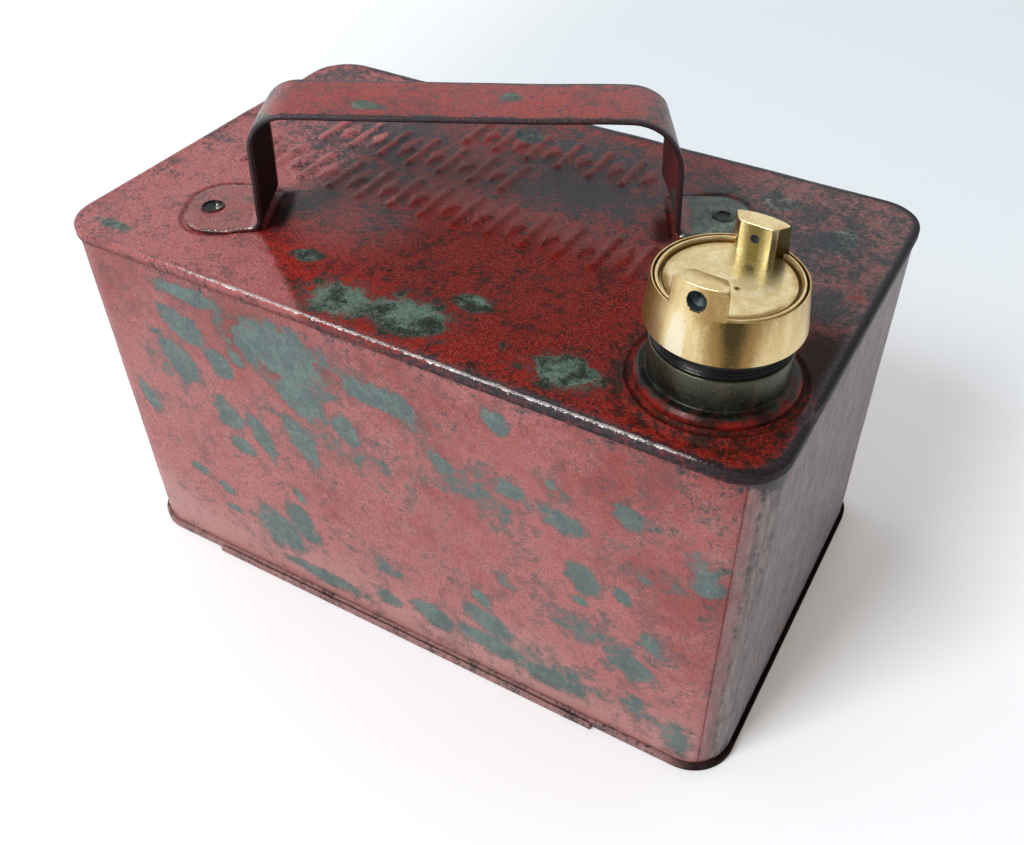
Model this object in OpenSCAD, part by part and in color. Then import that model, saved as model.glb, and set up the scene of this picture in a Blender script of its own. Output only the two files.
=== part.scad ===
/* [Can body] */
// Length over the top rim
can_l = 304.8; // [280:0.2:340]
// Width over the top rim
can_w = 184.2; // [170:0.2:220]
// Height of the top rim above the ground
can_h = 170.1; // [120:0.1:260]
// Corner radius of the top rim, seen from above
corner_r = 18.2; // [12:0.1:24]
// Thickness of the steel sheet
sheet_t = 0.8; // [0.6:0.1:1]
// How far the walls stand in from the top rim
wall_inset = 1; // [1:0.1:2]
// Depth of the skirt that laps down over the walls
skirt_h = 4.4; // [3:0.1:8]
// Outer radius of the bend between top and skirt
rim_bend = 1.4; // [1.2:0.1:2]
// Drop of the flat top inside its rim
panel_drop = 0.4; // [0.2:0.1:1]
// Where the side seam starts on its corner, in degrees from the long side
seam_start = 33; // [20:1:45]
// Width of the seam's overlap, in degrees of the corner
seam_span = 38; // [20:1:45]
// How far the outer lap stands proud at the seam
seam_step = 0.5; // [0.3:0.1:0.8]

/* [Base] */
// How far the folded base stands out from the walls
base_out = 1.75; // [1.5:0.05:3]
// Height of the folded base
base_h = 4.4; // [3.5:0.1:7]
// Height of the floor above the ground
floor_lift = 3; // [2:0.1:6]
// Clear width of the open gutter along each long side
gutter_w = 1; // [0.8:0.1:2]
// Left end of the open hem along the long side
hem_from = -105.5; // [-120:0.5:-60]
// Right end of the open hem along the long side
hem_to = 97; // [60:0.5:120]

/* [Handle] */
// Turn of the handle from the long side, in degrees
strap_turn = 27.6; // [20:0.1:32]
// Width of the strap
strap_w = 31.7; // [25:0.1:34]
// Thickness of the strap
strap_t = 2; // [1.5:0.1:3]
// Outer face of the left leg, along the strap
leg_left = -94.2; // [-100:0.1:-80]
// Outer face of the right leg, along the strap
leg_right = 72.8; // [60:0.1:76]
// Height of the grip's top above the rim
grip_top = 48.8; // [40:0.1:60]
// Sideways offset of the strap from the middle of the can
strap_shift = 2.35; // [0:0.05:4]
// Outer radius of the left bend
bend_left = 16.5; // [8:0.5:24]
// Outer radius of the right bend
bend_right = 21; // [8:0.5:28]
// Inner radius where a leg turns out into its foot
foot_bend = 3.6; // [2:0.1:5]
// Left foot: far end along the strap, length, width and corner radius
foot_left = [-126.4, 27.9, 36.5, 13.5];
// Right foot: near end along the strap, length, width and corner radius
foot_right = [76.4, 26, 32.5, 12];
// Depth of the pressed recess that each foot lies in
recess_d = 0.9; // [0.5:0.1:1.5]
// Margin of the recess round a foot
recess_margin = 2.2; // [1.5:0.1:4]
// How far the recesses lie off centre, across the strap
recess_shift = 0.9; // [0:0.1:1.2]
// Rivet places along the strap, left and right
rivet_at = [-116.6, 91.8];
// Radius of the hollow rivets' bores
rivet_bore_r = 2.9; // [2:0.1:3]

/* [Filler neck] */
// Place of the neck's axis on the top
neck_at = [116.7, -51.8];
// Outer radius of the neck collar
collar_r = 24; // [22:0.1:25]
// Height of the collar's mouth above the rim
collar_top = 17.8; // [15:0.1:20]
// Radius of the rounded shoulder at the collar's foot
shoulder_r = 3.9; // [2.5:0.1:4.5]
// Outer radius of the pressed boss under the collar
boss_r = 34; // [33.5:0.1:34.5]
// Radius of the boss's raised ring
ridge_r = 31.6; // [31:0.1:32]
// Height of the boss above the flat top
boss_h = 2; // [1:0.1:3]
// Depth of the groove between ring and collar
groove_d = 1.1; // [0.4:0.1:1.5]
// Radius of the bore in the thread ring
ring_bore_r = 19.4; // [19:0.1:20]

/* [Cap] */
// Radius of the skirt at its lower edge
skirt_low_r = 26.5; // [26:0.1:28]
// Radius of the skirt at the rim
skirt_top_r = 24.7; // [24.5:0.1:26]
// Height of the skirt's lower edge above the can's rim
cap_low = 25.2; // [24:0.1:26]
// Height of the cap's rim above the can's rim
cap_top = 41.1; // [38:0.1:44]
// Height of the two lugs above the can's rim
lug_top = 50.8; // [47:0.1:55]
// Direction of the front lug, in degrees from +X
lug_turn = 266; // [180:1:360]
// Distance of a lug's inner face from the axis
lug_inner = 16; // [14:0.1:17]
// Height of the lug holes above the can's rim
lug_hole_z = 45.8; // [45:0.1:47]
// Radius of the hole through a lug
lug_hole_r = 1.5; // [1:0.1:2]
// Radius of the wide mouth of a lug hole
lug_mouth_r = 3.2; // [2.5:0.1:3.5]
// Outer radius of the hollow plug
plug_r = 17.9; // [17:0.1:18.3]
// Bore radius of the hollow plug
plug_bore_r = 15; // [13:0.1:15.5]
// Height of the plug's lower end above the can's rim
plug_low = 2; // [1:0.1:4]

/* [Hidden] */
$fn = 96;

// Clearance between pieces that are soldered or pressed together
solder_gap = 0.05;
// Overrun that carries a cut past the face it opens
over = 1;

wall_l = can_l - 2 * wall_inset;
wall_w = can_w - 2 * wall_inset;
wall_r = corner_r - wall_inset;
wall_foot = 1;
wall_head = can_h - rim_bend;
panel_z = can_h - panel_drop;
rim_ramp = 2;
plate_inset = rim_bend + rim_ramp;

fold_t = base_out - solder_gap;
base_l = wall_l + 2 * base_out;
base_w = wall_w + 2 * base_out;
base_r = wall_r + base_out;
heel_r = 0.6;
fold_gap = 0.1;

foot_top = panel_z - recess_d + strap_t;
recess_floor = panel_z - recess_d;
bend_room = 1.2;
bend_corner_r = 3;
foot_left_inner = leg_left + strap_t + bend_room;
foot_right_inner = leg_right - strap_t - bend_room;
rivet_shank_r = rivet_bore_r + 1;
rivet_head_r = rivet_bore_r + 1.9;
rivet_head_h = 0.6;
rivet_tail_h = 1;
rivet_bore_depth = 3.4;
rivet_plate_side = 26;
rivet_plate_t = 1.2;
rivet_plate_top = recess_floor - sheet_t;

seat_z = panel_z + boss_h;
seat_r = collar_r + shoulder_r + 0.3;
mouth_z = can_h + collar_top;
collar_t = 1;
neck_hole_r = collar_r - collar_t;
ring_r = neck_hole_r - solder_gap;
ring_flange_r = ring_r + 3.6;
ring_flange_t = 1.2;
ring_low = panel_z - 3;
boss_steps = 24;

seal_gap = 0.1;
seal_r = 23.5;
seal_top = can_h + cap_low + 1.2;
seal_ribs = 3;
seal_rib_pitch = 1.1;
seal_rib_d = 0.55;

land_z = seal_top + seal_gap;
disc_z = can_h + cap_top - 1.3;
disc_r = 21.3;
bead_r = 0.9;
bead_at = 22.9;
lip_t = 0.6;
channel_d = 0.6;
lug_z0 = disc_z - 1.5;
lug_face_w = 5.6;
lug_chamfer = 1.3;
lug_side_w = 11.2;
lug_corner_r = 2.5;
lug_half_w = 10.6;

// Rounded rectangle, centred on the origin
module rounded_plate(l, w, r) {
    square([l - 2 * r, w], center = true);
    square([l, w - 2 * r], center = true);
    for (sx = [-1, 1], sy = [-1, 1])
        translate([sx * (l / 2 - r), sy * (w / 2 - r)]) circle(r);
}

// Carries a section round a rounded rectangle. The section's x is measured
// outward from the corner centres, and its y is height.
module around(l, w, r) {
    for (sx = [0, 1], sy = [0, 1])
        mirror([sx, 0, 0]) mirror([0, sy, 0])
            translate([l / 2 - r, w / 2 - r, 0]) rotate_extrude(angle = 90) children();
    for (s = [0, 1]) {
        mirror([0, s, 0]) translate([0, w / 2 - r, 0])
            rotate([90, 0, 90]) linear_extrude(height = l - 2 * r, center = true) children();
        mirror([s, 0, 0]) translate([l / 2 - r, 0, 0])
            rotate([90, 0, 0]) linear_extrude(height = w - 2 * r, center = true) children();
    }
}

// Quarter ring in the first quadrant
module quarter_ring(r_out, r_in) {
    intersection() {
        difference() {
            circle(r_out);
            circle(r_in);
        }
        square(r_out);
    }
}

// Moves its children to the strap's own line: x along the strap, y across it
module on_strap_line() {
    rotate([0, 0, strap_turn]) translate([0, strap_shift, 0]) children();
}

// Outline of one foot, grown by a margin, in the strap's own line
module foot_outline(foot, margin = 0) {
    translate([foot[0] + foot[1] / 2, 0])
        rounded_plate(foot[1] + 2 * margin, foot[2] + 2 * margin, foot[3] + margin);
}

// Outline of a foot's recess, which runs in under the strap's bend as far as inner_end
module recess_outline(foot, inner_end, grow = 0) {
    middle = foot[0] + foot[1] / 2;
    translate([0, recess_shift]) foot_outline(foot, recess_margin + grow);
    translate([(middle + inner_end) / 2, 0])
        rounded_plate(abs(inner_end - middle) + 2 * grow, strap_w + 2 * (bend_room + grow),
                      bend_corner_r + grow);
}

// One sheet bent round four corners, its ends lapped at one corner
module body_wrapper() {
    seam_low = base_h + 0.3;
    seam_high = can_h - skirt_h - 0.3;
    color("indianred") {
        translate([0, 0, wall_foot]) linear_extrude(height = wall_head - wall_foot)
            difference() {
                rounded_plate(wall_l, wall_w, wall_r);
                rounded_plate(wall_l - 2 * sheet_t, wall_w - 2 * sheet_t, wall_r - sheet_t);
            }
        translate([wall_l / 2 - wall_r, wall_r - wall_w / 2, seam_low])
            rotate([0, 0, seam_start - 90]) rotate_extrude(angle = seam_span)
                translate([wall_r - sheet_t / 2, 0])
                    square([sheet_t / 2 + seam_step, seam_high - seam_low]);
    }
}

// Section of the top's rim: ramp, bend and skirt
module rim_section() {
    bend_x = corner_r - rim_bend;
    polygon([[bend_x - rim_ramp, panel_z - sheet_t], [bend_x, can_h - sheet_t],
             [bend_x, can_h], [bend_x - rim_ramp, panel_z]]);
    translate([bend_x, can_h - rim_bend]) quarter_ring(rim_bend, rim_bend - sheet_t);
    translate([corner_r - sheet_t, can_h - skirt_h]) square([sheet_t, skirt_h - rim_bend]);
}

// Height of the pressed boss above the flat top, at a distance from the neck's axis
function boss_rise(r) =
    r >= ridge_r ? boss_h * (1 + cos(180 * (r - ridge_r) / (boss_r - ridge_r))) / 2 :
    r >= seat_r ? boss_h - groove_d * (1 - cos(360 * (r - seat_r) / (ridge_r - seat_r))) / 2 :
    boss_h;

// Section of the boss: a seat, a groove and a raised ring, all in one thickness of sheet
module boss_section() {
    radii = [for (i = [0 : boss_steps]) seat_r + (boss_r - seat_r) * i / boss_steps];
    polygon(concat([[neck_hole_r, seat_z]],
                   [for (r = radii) [r, panel_z + boss_rise(r)]],
                   [for (i = [boss_steps : -1 : 0])
                        [radii[i], panel_z + boss_rise(radii[i]) - sheet_t]],
                   [[neck_hole_r, seat_z - sheet_t]]));
}

// A pressed recess with upright walls for one foot
module foot_recess(foot, inner_end) {
    difference() {
        translate([0, 0, recess_floor - sheet_t]) linear_extrude(height = recess_d + sheet_t)
            recess_outline(foot, inner_end, sheet_t);
        translate([0, 0, recess_floor]) linear_extrude(height = recess_d + over)
            recess_outline(foot, inner_end);
    }
}

// The pressed top: rim, two foot recesses and the boss round the neck
module top_panel() {
    color("firebrick") difference() {
        union() {
            around(can_l, can_w, corner_r) rim_section();
            translate([0, 0, panel_z - sheet_t]) linear_extrude(height = sheet_t)
                difference() {
                    rounded_plate(can_l - 2 * plate_inset, can_w - 2 * plate_inset,
                                  corner_r - plate_inset);
                    translate(neck_at) circle(boss_r);
                    on_strap_line() {
                        recess_outline(foot_left, foot_left_inner);
                        recess_outline(foot_right, foot_right_inner);
                    }
                }
            translate(neck_at) rotate_extrude() boss_section();
            on_strap_line() {
                foot_recess(foot_left, foot_left_inner);
                foot_recess(foot_right, foot_right_inner);
            }
        }
        for (s = rivet_at)
            on_strap_line() translate([s, 0, recess_floor - sheet_t - over])
                cylinder(h = sheet_t + 2 * over, r = rivet_shank_r + solder_gap);
    }
}

// Section of the folded base: an outer leg of two thicknesses, a heel and an inner leg
module base_section() {
    inner = wall_r - sheet_t - fold_gap;
    translate([wall_r + solder_gap, heel_r]) square([fold_t, base_h - heel_r]);
    translate([base_r - heel_r, heel_r]) circle(heel_r);
    translate([inner - sheet_t + heel_r, heel_r]) circle(heel_r);
    translate([inner - sheet_t + heel_r, 0])
        square([base_r - inner + sheet_t - 2 * heel_r, wall_foot - fold_gap]);
    translate([inner - sheet_t, heel_r]) square([sheet_t, floor_lift + sheet_t - heel_r]);
}

// The open hem on one long side: a strip that stands off the base, joined along its foot
module open_hem() {
    out = base_w / 2;
    translate([hem_from, 0, 0]) rotate([90, 0, 90]) linear_extrude(height = hem_to - hem_from) {
        translate([out - heel_r, 0]) square([gutter_w + sheet_t, sheet_t]);
        translate([out + gutter_w, heel_r]) square([sheet_t, base_h - heel_r]);
        translate([out + gutter_w + sheet_t - heel_r, heel_r]) circle(heel_r);
    }
}

// The floor pan: raised floor, folded base and an open hem on each long side
module bottom_panel() {
    inner = wall_r - 2 * sheet_t - fold_gap;
    floor_inset = wall_r - inner;
    color("brown") {
        around(wall_l, wall_w, wall_r) base_section();
        translate([0, 0, floor_lift]) linear_extrude(height = sheet_t)
            rounded_plate(wall_l - 2 * floor_inset + sheet_t, wall_w - 2 * floor_inset + sheet_t,
                          inner + sheet_t / 2);
        for (s = [0, 1]) mirror([0, s, 0]) open_hem();
    }
}

// Filled arch with its own radius on each shoulder
module arch(left, right, low, top, r_left, r_right) {
    translate([left, low]) square([right - left, top - r_right - low]);
    translate([left, low]) square([right - left - r_right, top - r_left - low]);
    translate([left + r_left, low]) square([right - left - r_left - r_right, top - low]);
    translate([left + r_left, top - r_left]) circle(r_left);
    translate([right - r_right, top - r_right]) circle(r_right);
}

// Side view of the strap: two feet, two legs and the grip
module strap_side() {
    low = foot_top + foot_bend;
    top = can_h + grip_top;
    difference() {
        arch(leg_left, leg_right, low, top, bend_left, bend_right);
        arch(leg_left + strap_t, leg_right - strap_t, low - over, top - strap_t,
             bend_left - strap_t, bend_right - strap_t);
    }
    for (side = [[leg_left - foot_bend, 0, foot_left[0] + foot_left[1] / 2],
                 [leg_right + foot_bend, 1, foot_right[0] + foot_right[1] / 2]]) {
        translate([side[0], low]) mirror([side[1], 0]) mirror([0, 1])
            quarter_ring(foot_bend + strap_t, foot_bend);
        translate([min(side[0], side[2]), foot_top - strap_t])
            square([abs(side[0] - side[2]), strap_t]);
    }
}

// Flat steel strap bent into a U, its feet turned outward and rounded
module handle_strap() {
    color("darkred") on_strap_line() difference() {
        union() {
            rotate([90, 0, 0]) linear_extrude(height = strap_w, center = true) strap_side();
            for (foot = [foot_left, foot_right])
                translate([0, 0, foot_top - strap_t]) linear_extrude(height = strap_t)
                    foot_outline(foot);
        }
        for (s = rivet_at)
            translate([s, 0, foot_top - strap_t - over])
                cylinder(h = strap_t + 2 * over, r = rivet_shank_r + solder_gap);
    }
}

// Hollow rivet: low head, shank with a blind bore and a tail clenched under its plate
module hollow_rivet(s) {
    tail_top = rivet_plate_top - rivet_plate_t;
    head_top = foot_top + rivet_head_h;
    color("dimgray") on_strap_line() translate([s, 0, 0]) difference() {
        union() {
            translate([0, 0, tail_top]) cylinder(h = foot_top - tail_top, r = rivet_shank_r);
            translate([0, 0, foot_top])
                cylinder(h = rivet_head_h, r1 = rivet_head_r, r2 = rivet_head_r - rivet_head_h);
            translate([0, 0, tail_top - rivet_tail_h])
                cylinder(h = rivet_tail_h, r1 = rivet_shank_r, r2 = rivet_head_r);
        }
        translate([0, 0, head_top - rivet_bore_depth])
            cylinder(h = rivet_bore_depth + over, r = rivet_bore_r);
    }
}

module handle_rivet_left() hollow_rivet(rivet_at[0]);
module handle_rivet_right() hollow_rivet(rivet_at[1]);

// Square plate under the top that spreads one rivet's pull
module rivet_plate(s) {
    color("slategray") on_strap_line() translate([s, 0, rivet_plate_top - rivet_plate_t])
        linear_extrude(height = rivet_plate_t) difference() {
            rounded_plate(rivet_plate_side, rivet_plate_side, 3);
            circle(rivet_shank_r + solder_gap);
        }
}

module rivet_plate_left() rivet_plate(rivet_at[0]);
module rivet_plate_right() rivet_plate(rivet_at[1]);

// Drawn steel collar with a rounded shoulder that is soldered to the boss
module neck_collar() {
    lip = 0.5;
    color("darkslategray") translate(neck_at) rotate_extrude() {
        translate([neck_hole_r, seat_z]) square([collar_t, mouth_z - lip - seat_z]);
        translate([neck_hole_r, mouth_z - lip]) square([collar_t - lip, lip]);
        translate([collar_r - lip, mouth_z - lip]) circle(lip);
        translate([collar_r - lip, seat_z]) intersection() {
            circle(shoulder_r + lip);
            square(shoulder_r + lip);
        }
    }
}

// Bored ring inside the collar that carries the neck's thread, flanged under the boss
module neck_thread_ring() {
    chamfer = 0.6;
    flange_top = seat_z - sheet_t - solder_gap;
    color("darkgoldenrod") translate(neck_at) rotate_extrude()
        polygon([[ring_bore_r + chamfer, ring_low], [ring_r, ring_low],
                 [ring_r, flange_top - ring_flange_t],
                 [ring_flange_r, flange_top - ring_flange_t], [ring_flange_r, flange_top],
                 [ring_r, flange_top], [ring_r, mouth_z - chamfer],
                 [ring_bore_r + chamfer, mouth_z - chamfer], [ring_bore_r, mouth_z - 2 * chamfer],
                 [ring_bore_r, ring_low + chamfer]]);
}

// Thick rubber ring with fine ribs low on its outside
module cap_seal() {
    low = mouth_z + seal_gap;
    rib_low = low + 0.6;
    color("black") translate(neck_at) rotate_extrude() difference() {
        translate([plug_r + 0.4, low]) square([seal_r - plug_r - 0.4, seal_top - low]);
        for (i = [0 : seal_ribs - 1])
            translate([seal_r + seal_rib_d / 4, rib_low + (i + 0.5) * seal_rib_pitch])
                circle(seal_rib_d, $fn = 24);
    }
}

// Section of the cap: dished disc, bead, lip, flared skirt and hollow plug
module cap_section() {
    lip_z = can_h + cap_top;
    low_z = can_h + cap_low;
    plug_z = can_h + plug_low;
    floor_z = disc_z - channel_d;
    roof_z = disc_z - 3.2;
    polygon([[0, disc_z], [disc_r, disc_z], [disc_r + channel_d / 2, floor_z],
             [skirt_top_r - lip_t, floor_z], [skirt_top_r - lip_t, lip_z], [skirt_top_r, lip_z],
             [skirt_low_r, low_z + 0.5], [skirt_low_r - 0.4, low_z], [seal_r + 0.4, low_z],
             [seal_r + 0.4, land_z], [plug_r, land_z], [plug_r, plug_z + 1],
             [plug_r - 1, plug_z], [plug_bore_r, plug_z], [plug_bore_r, roof_z - 3],
             [plug_bore_r - 4, roof_z], [0, roof_z]]);
    translate([bead_at, lip_z - bead_r]) circle(bead_r);
    translate([bead_at - bead_r, floor_z]) square([2 * bead_r, lip_z - bead_r - floor_z]);
}

// One lug, pointing along +X: flush with the skirt outside, flat inside, drilled through
module cap_lug() {
    lug_z1 = can_h + lug_top;
    slope = (skirt_low_r - skirt_top_r) / (cap_top - cap_low);
    outer_low = skirt_top_r + slope * (can_h + cap_top - lug_z0);
    outer_top = skirt_top_r - slope * (lug_top - cap_top);
    face = lug_face_w + lug_chamfer;
    difference() {
        intersection() {
            rotate_extrude()
                polygon([[lug_inner - over, lug_z0], [outer_low, lug_z0], [outer_top, lug_z1],
                         [lug_inner - over, lug_z1]]);
            translate([0, 0, lug_z0 - over]) linear_extrude(height = lug_z1 - lug_z0 + 2 * over)
                polygon([[lug_inner, -lug_face_w], [lug_inner + lug_chamfer, -face],
                         [skirt_low_r, -lug_side_w - 1], [skirt_low_r, lug_side_w + 1],
                         [lug_inner + lug_chamfer, face], [lug_inner, lug_face_w]]);
            translate([0, 0, lug_z0]) rotate([90, 0, 90]) linear_extrude(height = skirt_low_r + over) {
                height = lug_z1 - lug_z0;
                translate([-lug_half_w, 0]) square([2 * lug_half_w, height - lug_corner_r]);
                translate([lug_corner_r - lug_half_w, 0])
                    square([2 * (lug_half_w - lug_corner_r), height]);
                for (s = [-1, 1])
                    translate([s * (lug_half_w - lug_corner_r), height - lug_corner_r])
                        circle(lug_corner_r);
            }
        }
        translate([lug_inner - over, 0, can_h + lug_hole_z]) rotate([0, 90, 0]) {
            cylinder(h = skirt_low_r, r = lug_hole_r);
            translate([0, 0, 4]) cylinder(h = lug_mouth_r - lug_hole_r, r1 = lug_hole_r, r2 = lug_mouth_r);
            translate([0, 0, 4 + lug_mouth_r - lug_hole_r]) cylinder(h = skirt_low_r, r = lug_mouth_r);
        }
    }
}

// Turned brass cap: flared skirt, dished disc, two lugs and a hollow plug
module filler_cap() {
    color("goldenrod") translate(neck_at) {
        rotate_extrude() cap_section();
        for (a = [0, 180]) rotate([0, 0, lug_turn + a]) cap_lug();
    }
}

body_wrapper();
top_panel();
bottom_panel();
handle_strap();
handle_rivet_left();
handle_rivet_right();
rivet_plate_left();
rivet_plate_right();
neck_collar();
neck_thread_ring();
cap_seal();
filler_cap();
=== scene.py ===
import math

import bpy
import numpy as np
from mathutils import Matrix, Vector


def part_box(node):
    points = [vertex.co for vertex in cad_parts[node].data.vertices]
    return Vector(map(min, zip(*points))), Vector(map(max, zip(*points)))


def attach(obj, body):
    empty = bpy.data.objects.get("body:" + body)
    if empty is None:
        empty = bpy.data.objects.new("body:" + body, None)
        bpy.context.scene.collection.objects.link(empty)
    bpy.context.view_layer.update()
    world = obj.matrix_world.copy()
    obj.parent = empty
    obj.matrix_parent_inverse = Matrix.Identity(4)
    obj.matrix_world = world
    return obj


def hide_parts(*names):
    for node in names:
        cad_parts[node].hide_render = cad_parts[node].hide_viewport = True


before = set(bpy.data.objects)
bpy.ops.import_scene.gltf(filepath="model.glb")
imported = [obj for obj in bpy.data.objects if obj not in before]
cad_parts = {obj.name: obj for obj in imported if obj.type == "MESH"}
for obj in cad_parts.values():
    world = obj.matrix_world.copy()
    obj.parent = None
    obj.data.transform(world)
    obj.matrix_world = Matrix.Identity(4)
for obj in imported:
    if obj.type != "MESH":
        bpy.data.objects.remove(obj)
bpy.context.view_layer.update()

MM = 0.001

# The can's driving sizes, read off the frame where it has them
wall_low, wall_high = (np.array(corner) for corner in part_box("body_wrapper"))
rim_low, rim_high = (np.array(corner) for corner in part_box("top_panel"))
base_low, base_high = (np.array(corner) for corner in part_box("bottom_panel"))
collar_low, collar_high = (np.array(corner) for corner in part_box("neck_collar"))
cap_low, cap_high = (np.array(corner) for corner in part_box("filler_cap"))
RIM_LENGTH = rim_high[0] - rim_low[0]
RIM_WIDTH = rim_high[1] - rim_low[1]
WALL_LENGTH = RIM_LENGTH - 2 * MM
WALL_WIDTH = RIM_WIDTH - 2 * MM
RIM_BEND = 1.4 * MM
RIM_Z = wall_high[2] + RIM_BEND
PANEL_Z = RIM_Z - 0.4 * MM
RIM_RADIUS = 18.2 * MM
WALL_RADIUS = RIM_RADIUS - 1 * MM
BASE_OUT = base_high[0] - WALL_LENGTH / 2
SHEET = 0.8 * MM
NECK = (cap_low[:2] + cap_high[:2]) / 2
COLLAR_RADIUS = 24 * MM
MOUTH_Z = collar_high[2]
LIP_Z = RIM_Z + 41.1 * MM

# The strap handle's own line: along it, across it, and where it is centred
STRAP_TURN = math.radians(27.6)
ALONG = np.array([math.cos(STRAP_TURN), math.sin(STRAP_TURN)])
ACROSS = np.array([-math.sin(STRAP_TURN), math.cos(STRAP_TURN)])
STRAP_SHIFT = 2.35 * MM
STRAP_WIDTH = 31.7 * MM
STRAP_THICKNESS = 2 * MM
RECESS_DEPTH = 0.9 * MM
FOOT_Z = PANEL_Z - RECESS_DEPTH + STRAP_THICKNESS
LEFT_FOOT = {"ends": (-126.4 * MM, -98.5 * MM), "width": 36.5 * MM, "corner": 13.5 * MM}
RIGHT_FOOT = {"ends": (76.4 * MM, 102.4 * MM), "width": 32.5 * MM, "corner": 12 * MM}
RIVETS = (-116.6 * MM, 91.8 * MM)


# Camera, floor and lights

def add_camera():
    """The photograph's view: 1024 by 845 pixels, its focal length and centre in pixels."""
    image_width, image_height = 1024, 845
    focal, centre = 1063.4, (548.9, 416.9)
    azimuth, elevation, roll = (math.radians(a) for a in (28.78, 41.83, 0.43))
    data = bpy.data.cameras.new("photo_camera")
    data.sensor_width = 36
    data.lens = focal * data.sensor_width / image_width
    data.shift_x = (image_width / 2 - centre[0]) / image_width
    data.shift_y = (centre[1] - image_height / 2) / image_width
    data.clip_start = 0.01
    camera = bpy.data.objects.new("photo_camera", data)
    bpy.context.scene.collection.objects.link(camera)
    back = Vector((math.sin(azimuth) * math.cos(elevation),
                   -math.cos(azimuth) * math.cos(elevation), math.sin(elevation)))
    right = Vector((math.cos(azimuth), math.sin(azimuth), 0))
    up = back.cross(right)
    turned_right = math.cos(roll) * right + math.sin(roll) * up
    turned_up = math.cos(roll) * up - math.sin(roll) * right
    axes = Matrix((turned_right, turned_up, back)).transposed()
    camera.matrix_world = Matrix.Translation((0.1998, -0.3191, 0.3975)) @ axes.to_4x4()
    bpy.context.scene.camera = camera


def add_area_light(name, position, target, size, power, colour):
    data = bpy.data.lights.new(name, "AREA")
    data.shape = "RECTANGLE"
    data.size, data.size_y = size
    data.energy = power
    data.color = colour
    lamp = bpy.data.objects.new(name, data)
    direction = Vector(target) - Vector(position)
    lamp.matrix_world = (Matrix.Translation(position)
                         @ direction.to_track_quat("-Z", "Y").to_matrix().to_4x4())
    bpy.context.scene.collection.objects.link(lamp)


def add_lights():
    add_area_light("window_light", (-1.03, -2.47, 2.69), (0, 0, 0.08), (1.35, 1.6), 100, (1.0, 0.985, 0.965))


def add_world():
    """A pale room with a window on the left, a dark corner high up behind and a dim side by the camera."""
    world = bpy.data.worlds.new("room")
    world.use_nodes = True
    tree = world.node_tree
    tree.nodes.clear()
    link = tree.links.new
    place = tree.nodes.new("ShaderNodeTexCoord").outputs["Generated"]

    def towards(direction, low, high, start, end):
        """A smooth change from start to end as the view turns towards a direction."""
        dot = tree.nodes.new("ShaderNodeVectorMath")
        dot.operation = "DOT_PRODUCT"
        dot.inputs[1].default_value = direction
        link(place, dot.inputs[0])
        ramp = tree.nodes.new("ShaderNodeMapRange")
        ramp.interpolation_type = "SMOOTHSTEP"
        for name, number in (("From Min", low), ("From Max", high), ("To Min", start), ("To Max", end)):
            ramp.inputs[name].default_value = number
        link(dot.outputs["Value"], ramp.inputs["Value"])
        return ramp.outputs["Result"]

    def times(a, b):
        product = tree.nodes.new("ShaderNodeMath")
        product.operation = "MULTIPLY"
        link(a, product.inputs[0])
        link(b, product.inputs[1])
        return product.outputs["Value"]

    window = towards((-0.862, 0.28, 0.423), 0.905, 0.95, 0.66, 1.6)
    corner = towards((-0.5, 0.5, 0.707), 0.95, 0.985, 1.0, 0.25)
    screen = towards((-0.19, 0.8, 0.57), 0.88, 0.97, 1.0, 1.5)
    behind = towards((-0.6, 0.8, 0), -0.5, 0.3, 0.5, 1.0)
    light = tree.nodes.new("ShaderNodeBackground")
    light.inputs["Color"].default_value = (0.93, 0.97, 1.0, 1)
    link(times(times(window, corner), times(behind, screen)), light.inputs["Strength"])
    seen = tree.nodes.new("ShaderNodeBackground")
    seen.inputs["Color"].default_value = (0.8, 0.86, 0.89, 1)
    mixed = tree.nodes.new("ShaderNodeMixShader")
    output = tree.nodes.new("ShaderNodeOutputWorld")
    link(tree.nodes.new("ShaderNodeLightPath").outputs["Is Camera Ray"], mixed.inputs["Fac"])
    link(light.outputs["Background"], mixed.inputs[1])
    link(seen.outputs["Background"], mixed.inputs[2])
    link(mixed.outputs["Shader"], output.inputs["Surface"])
    bpy.context.scene.world = world
    bpy.context.scene.view_settings.view_transform = "Standard"


# Node materials

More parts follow.
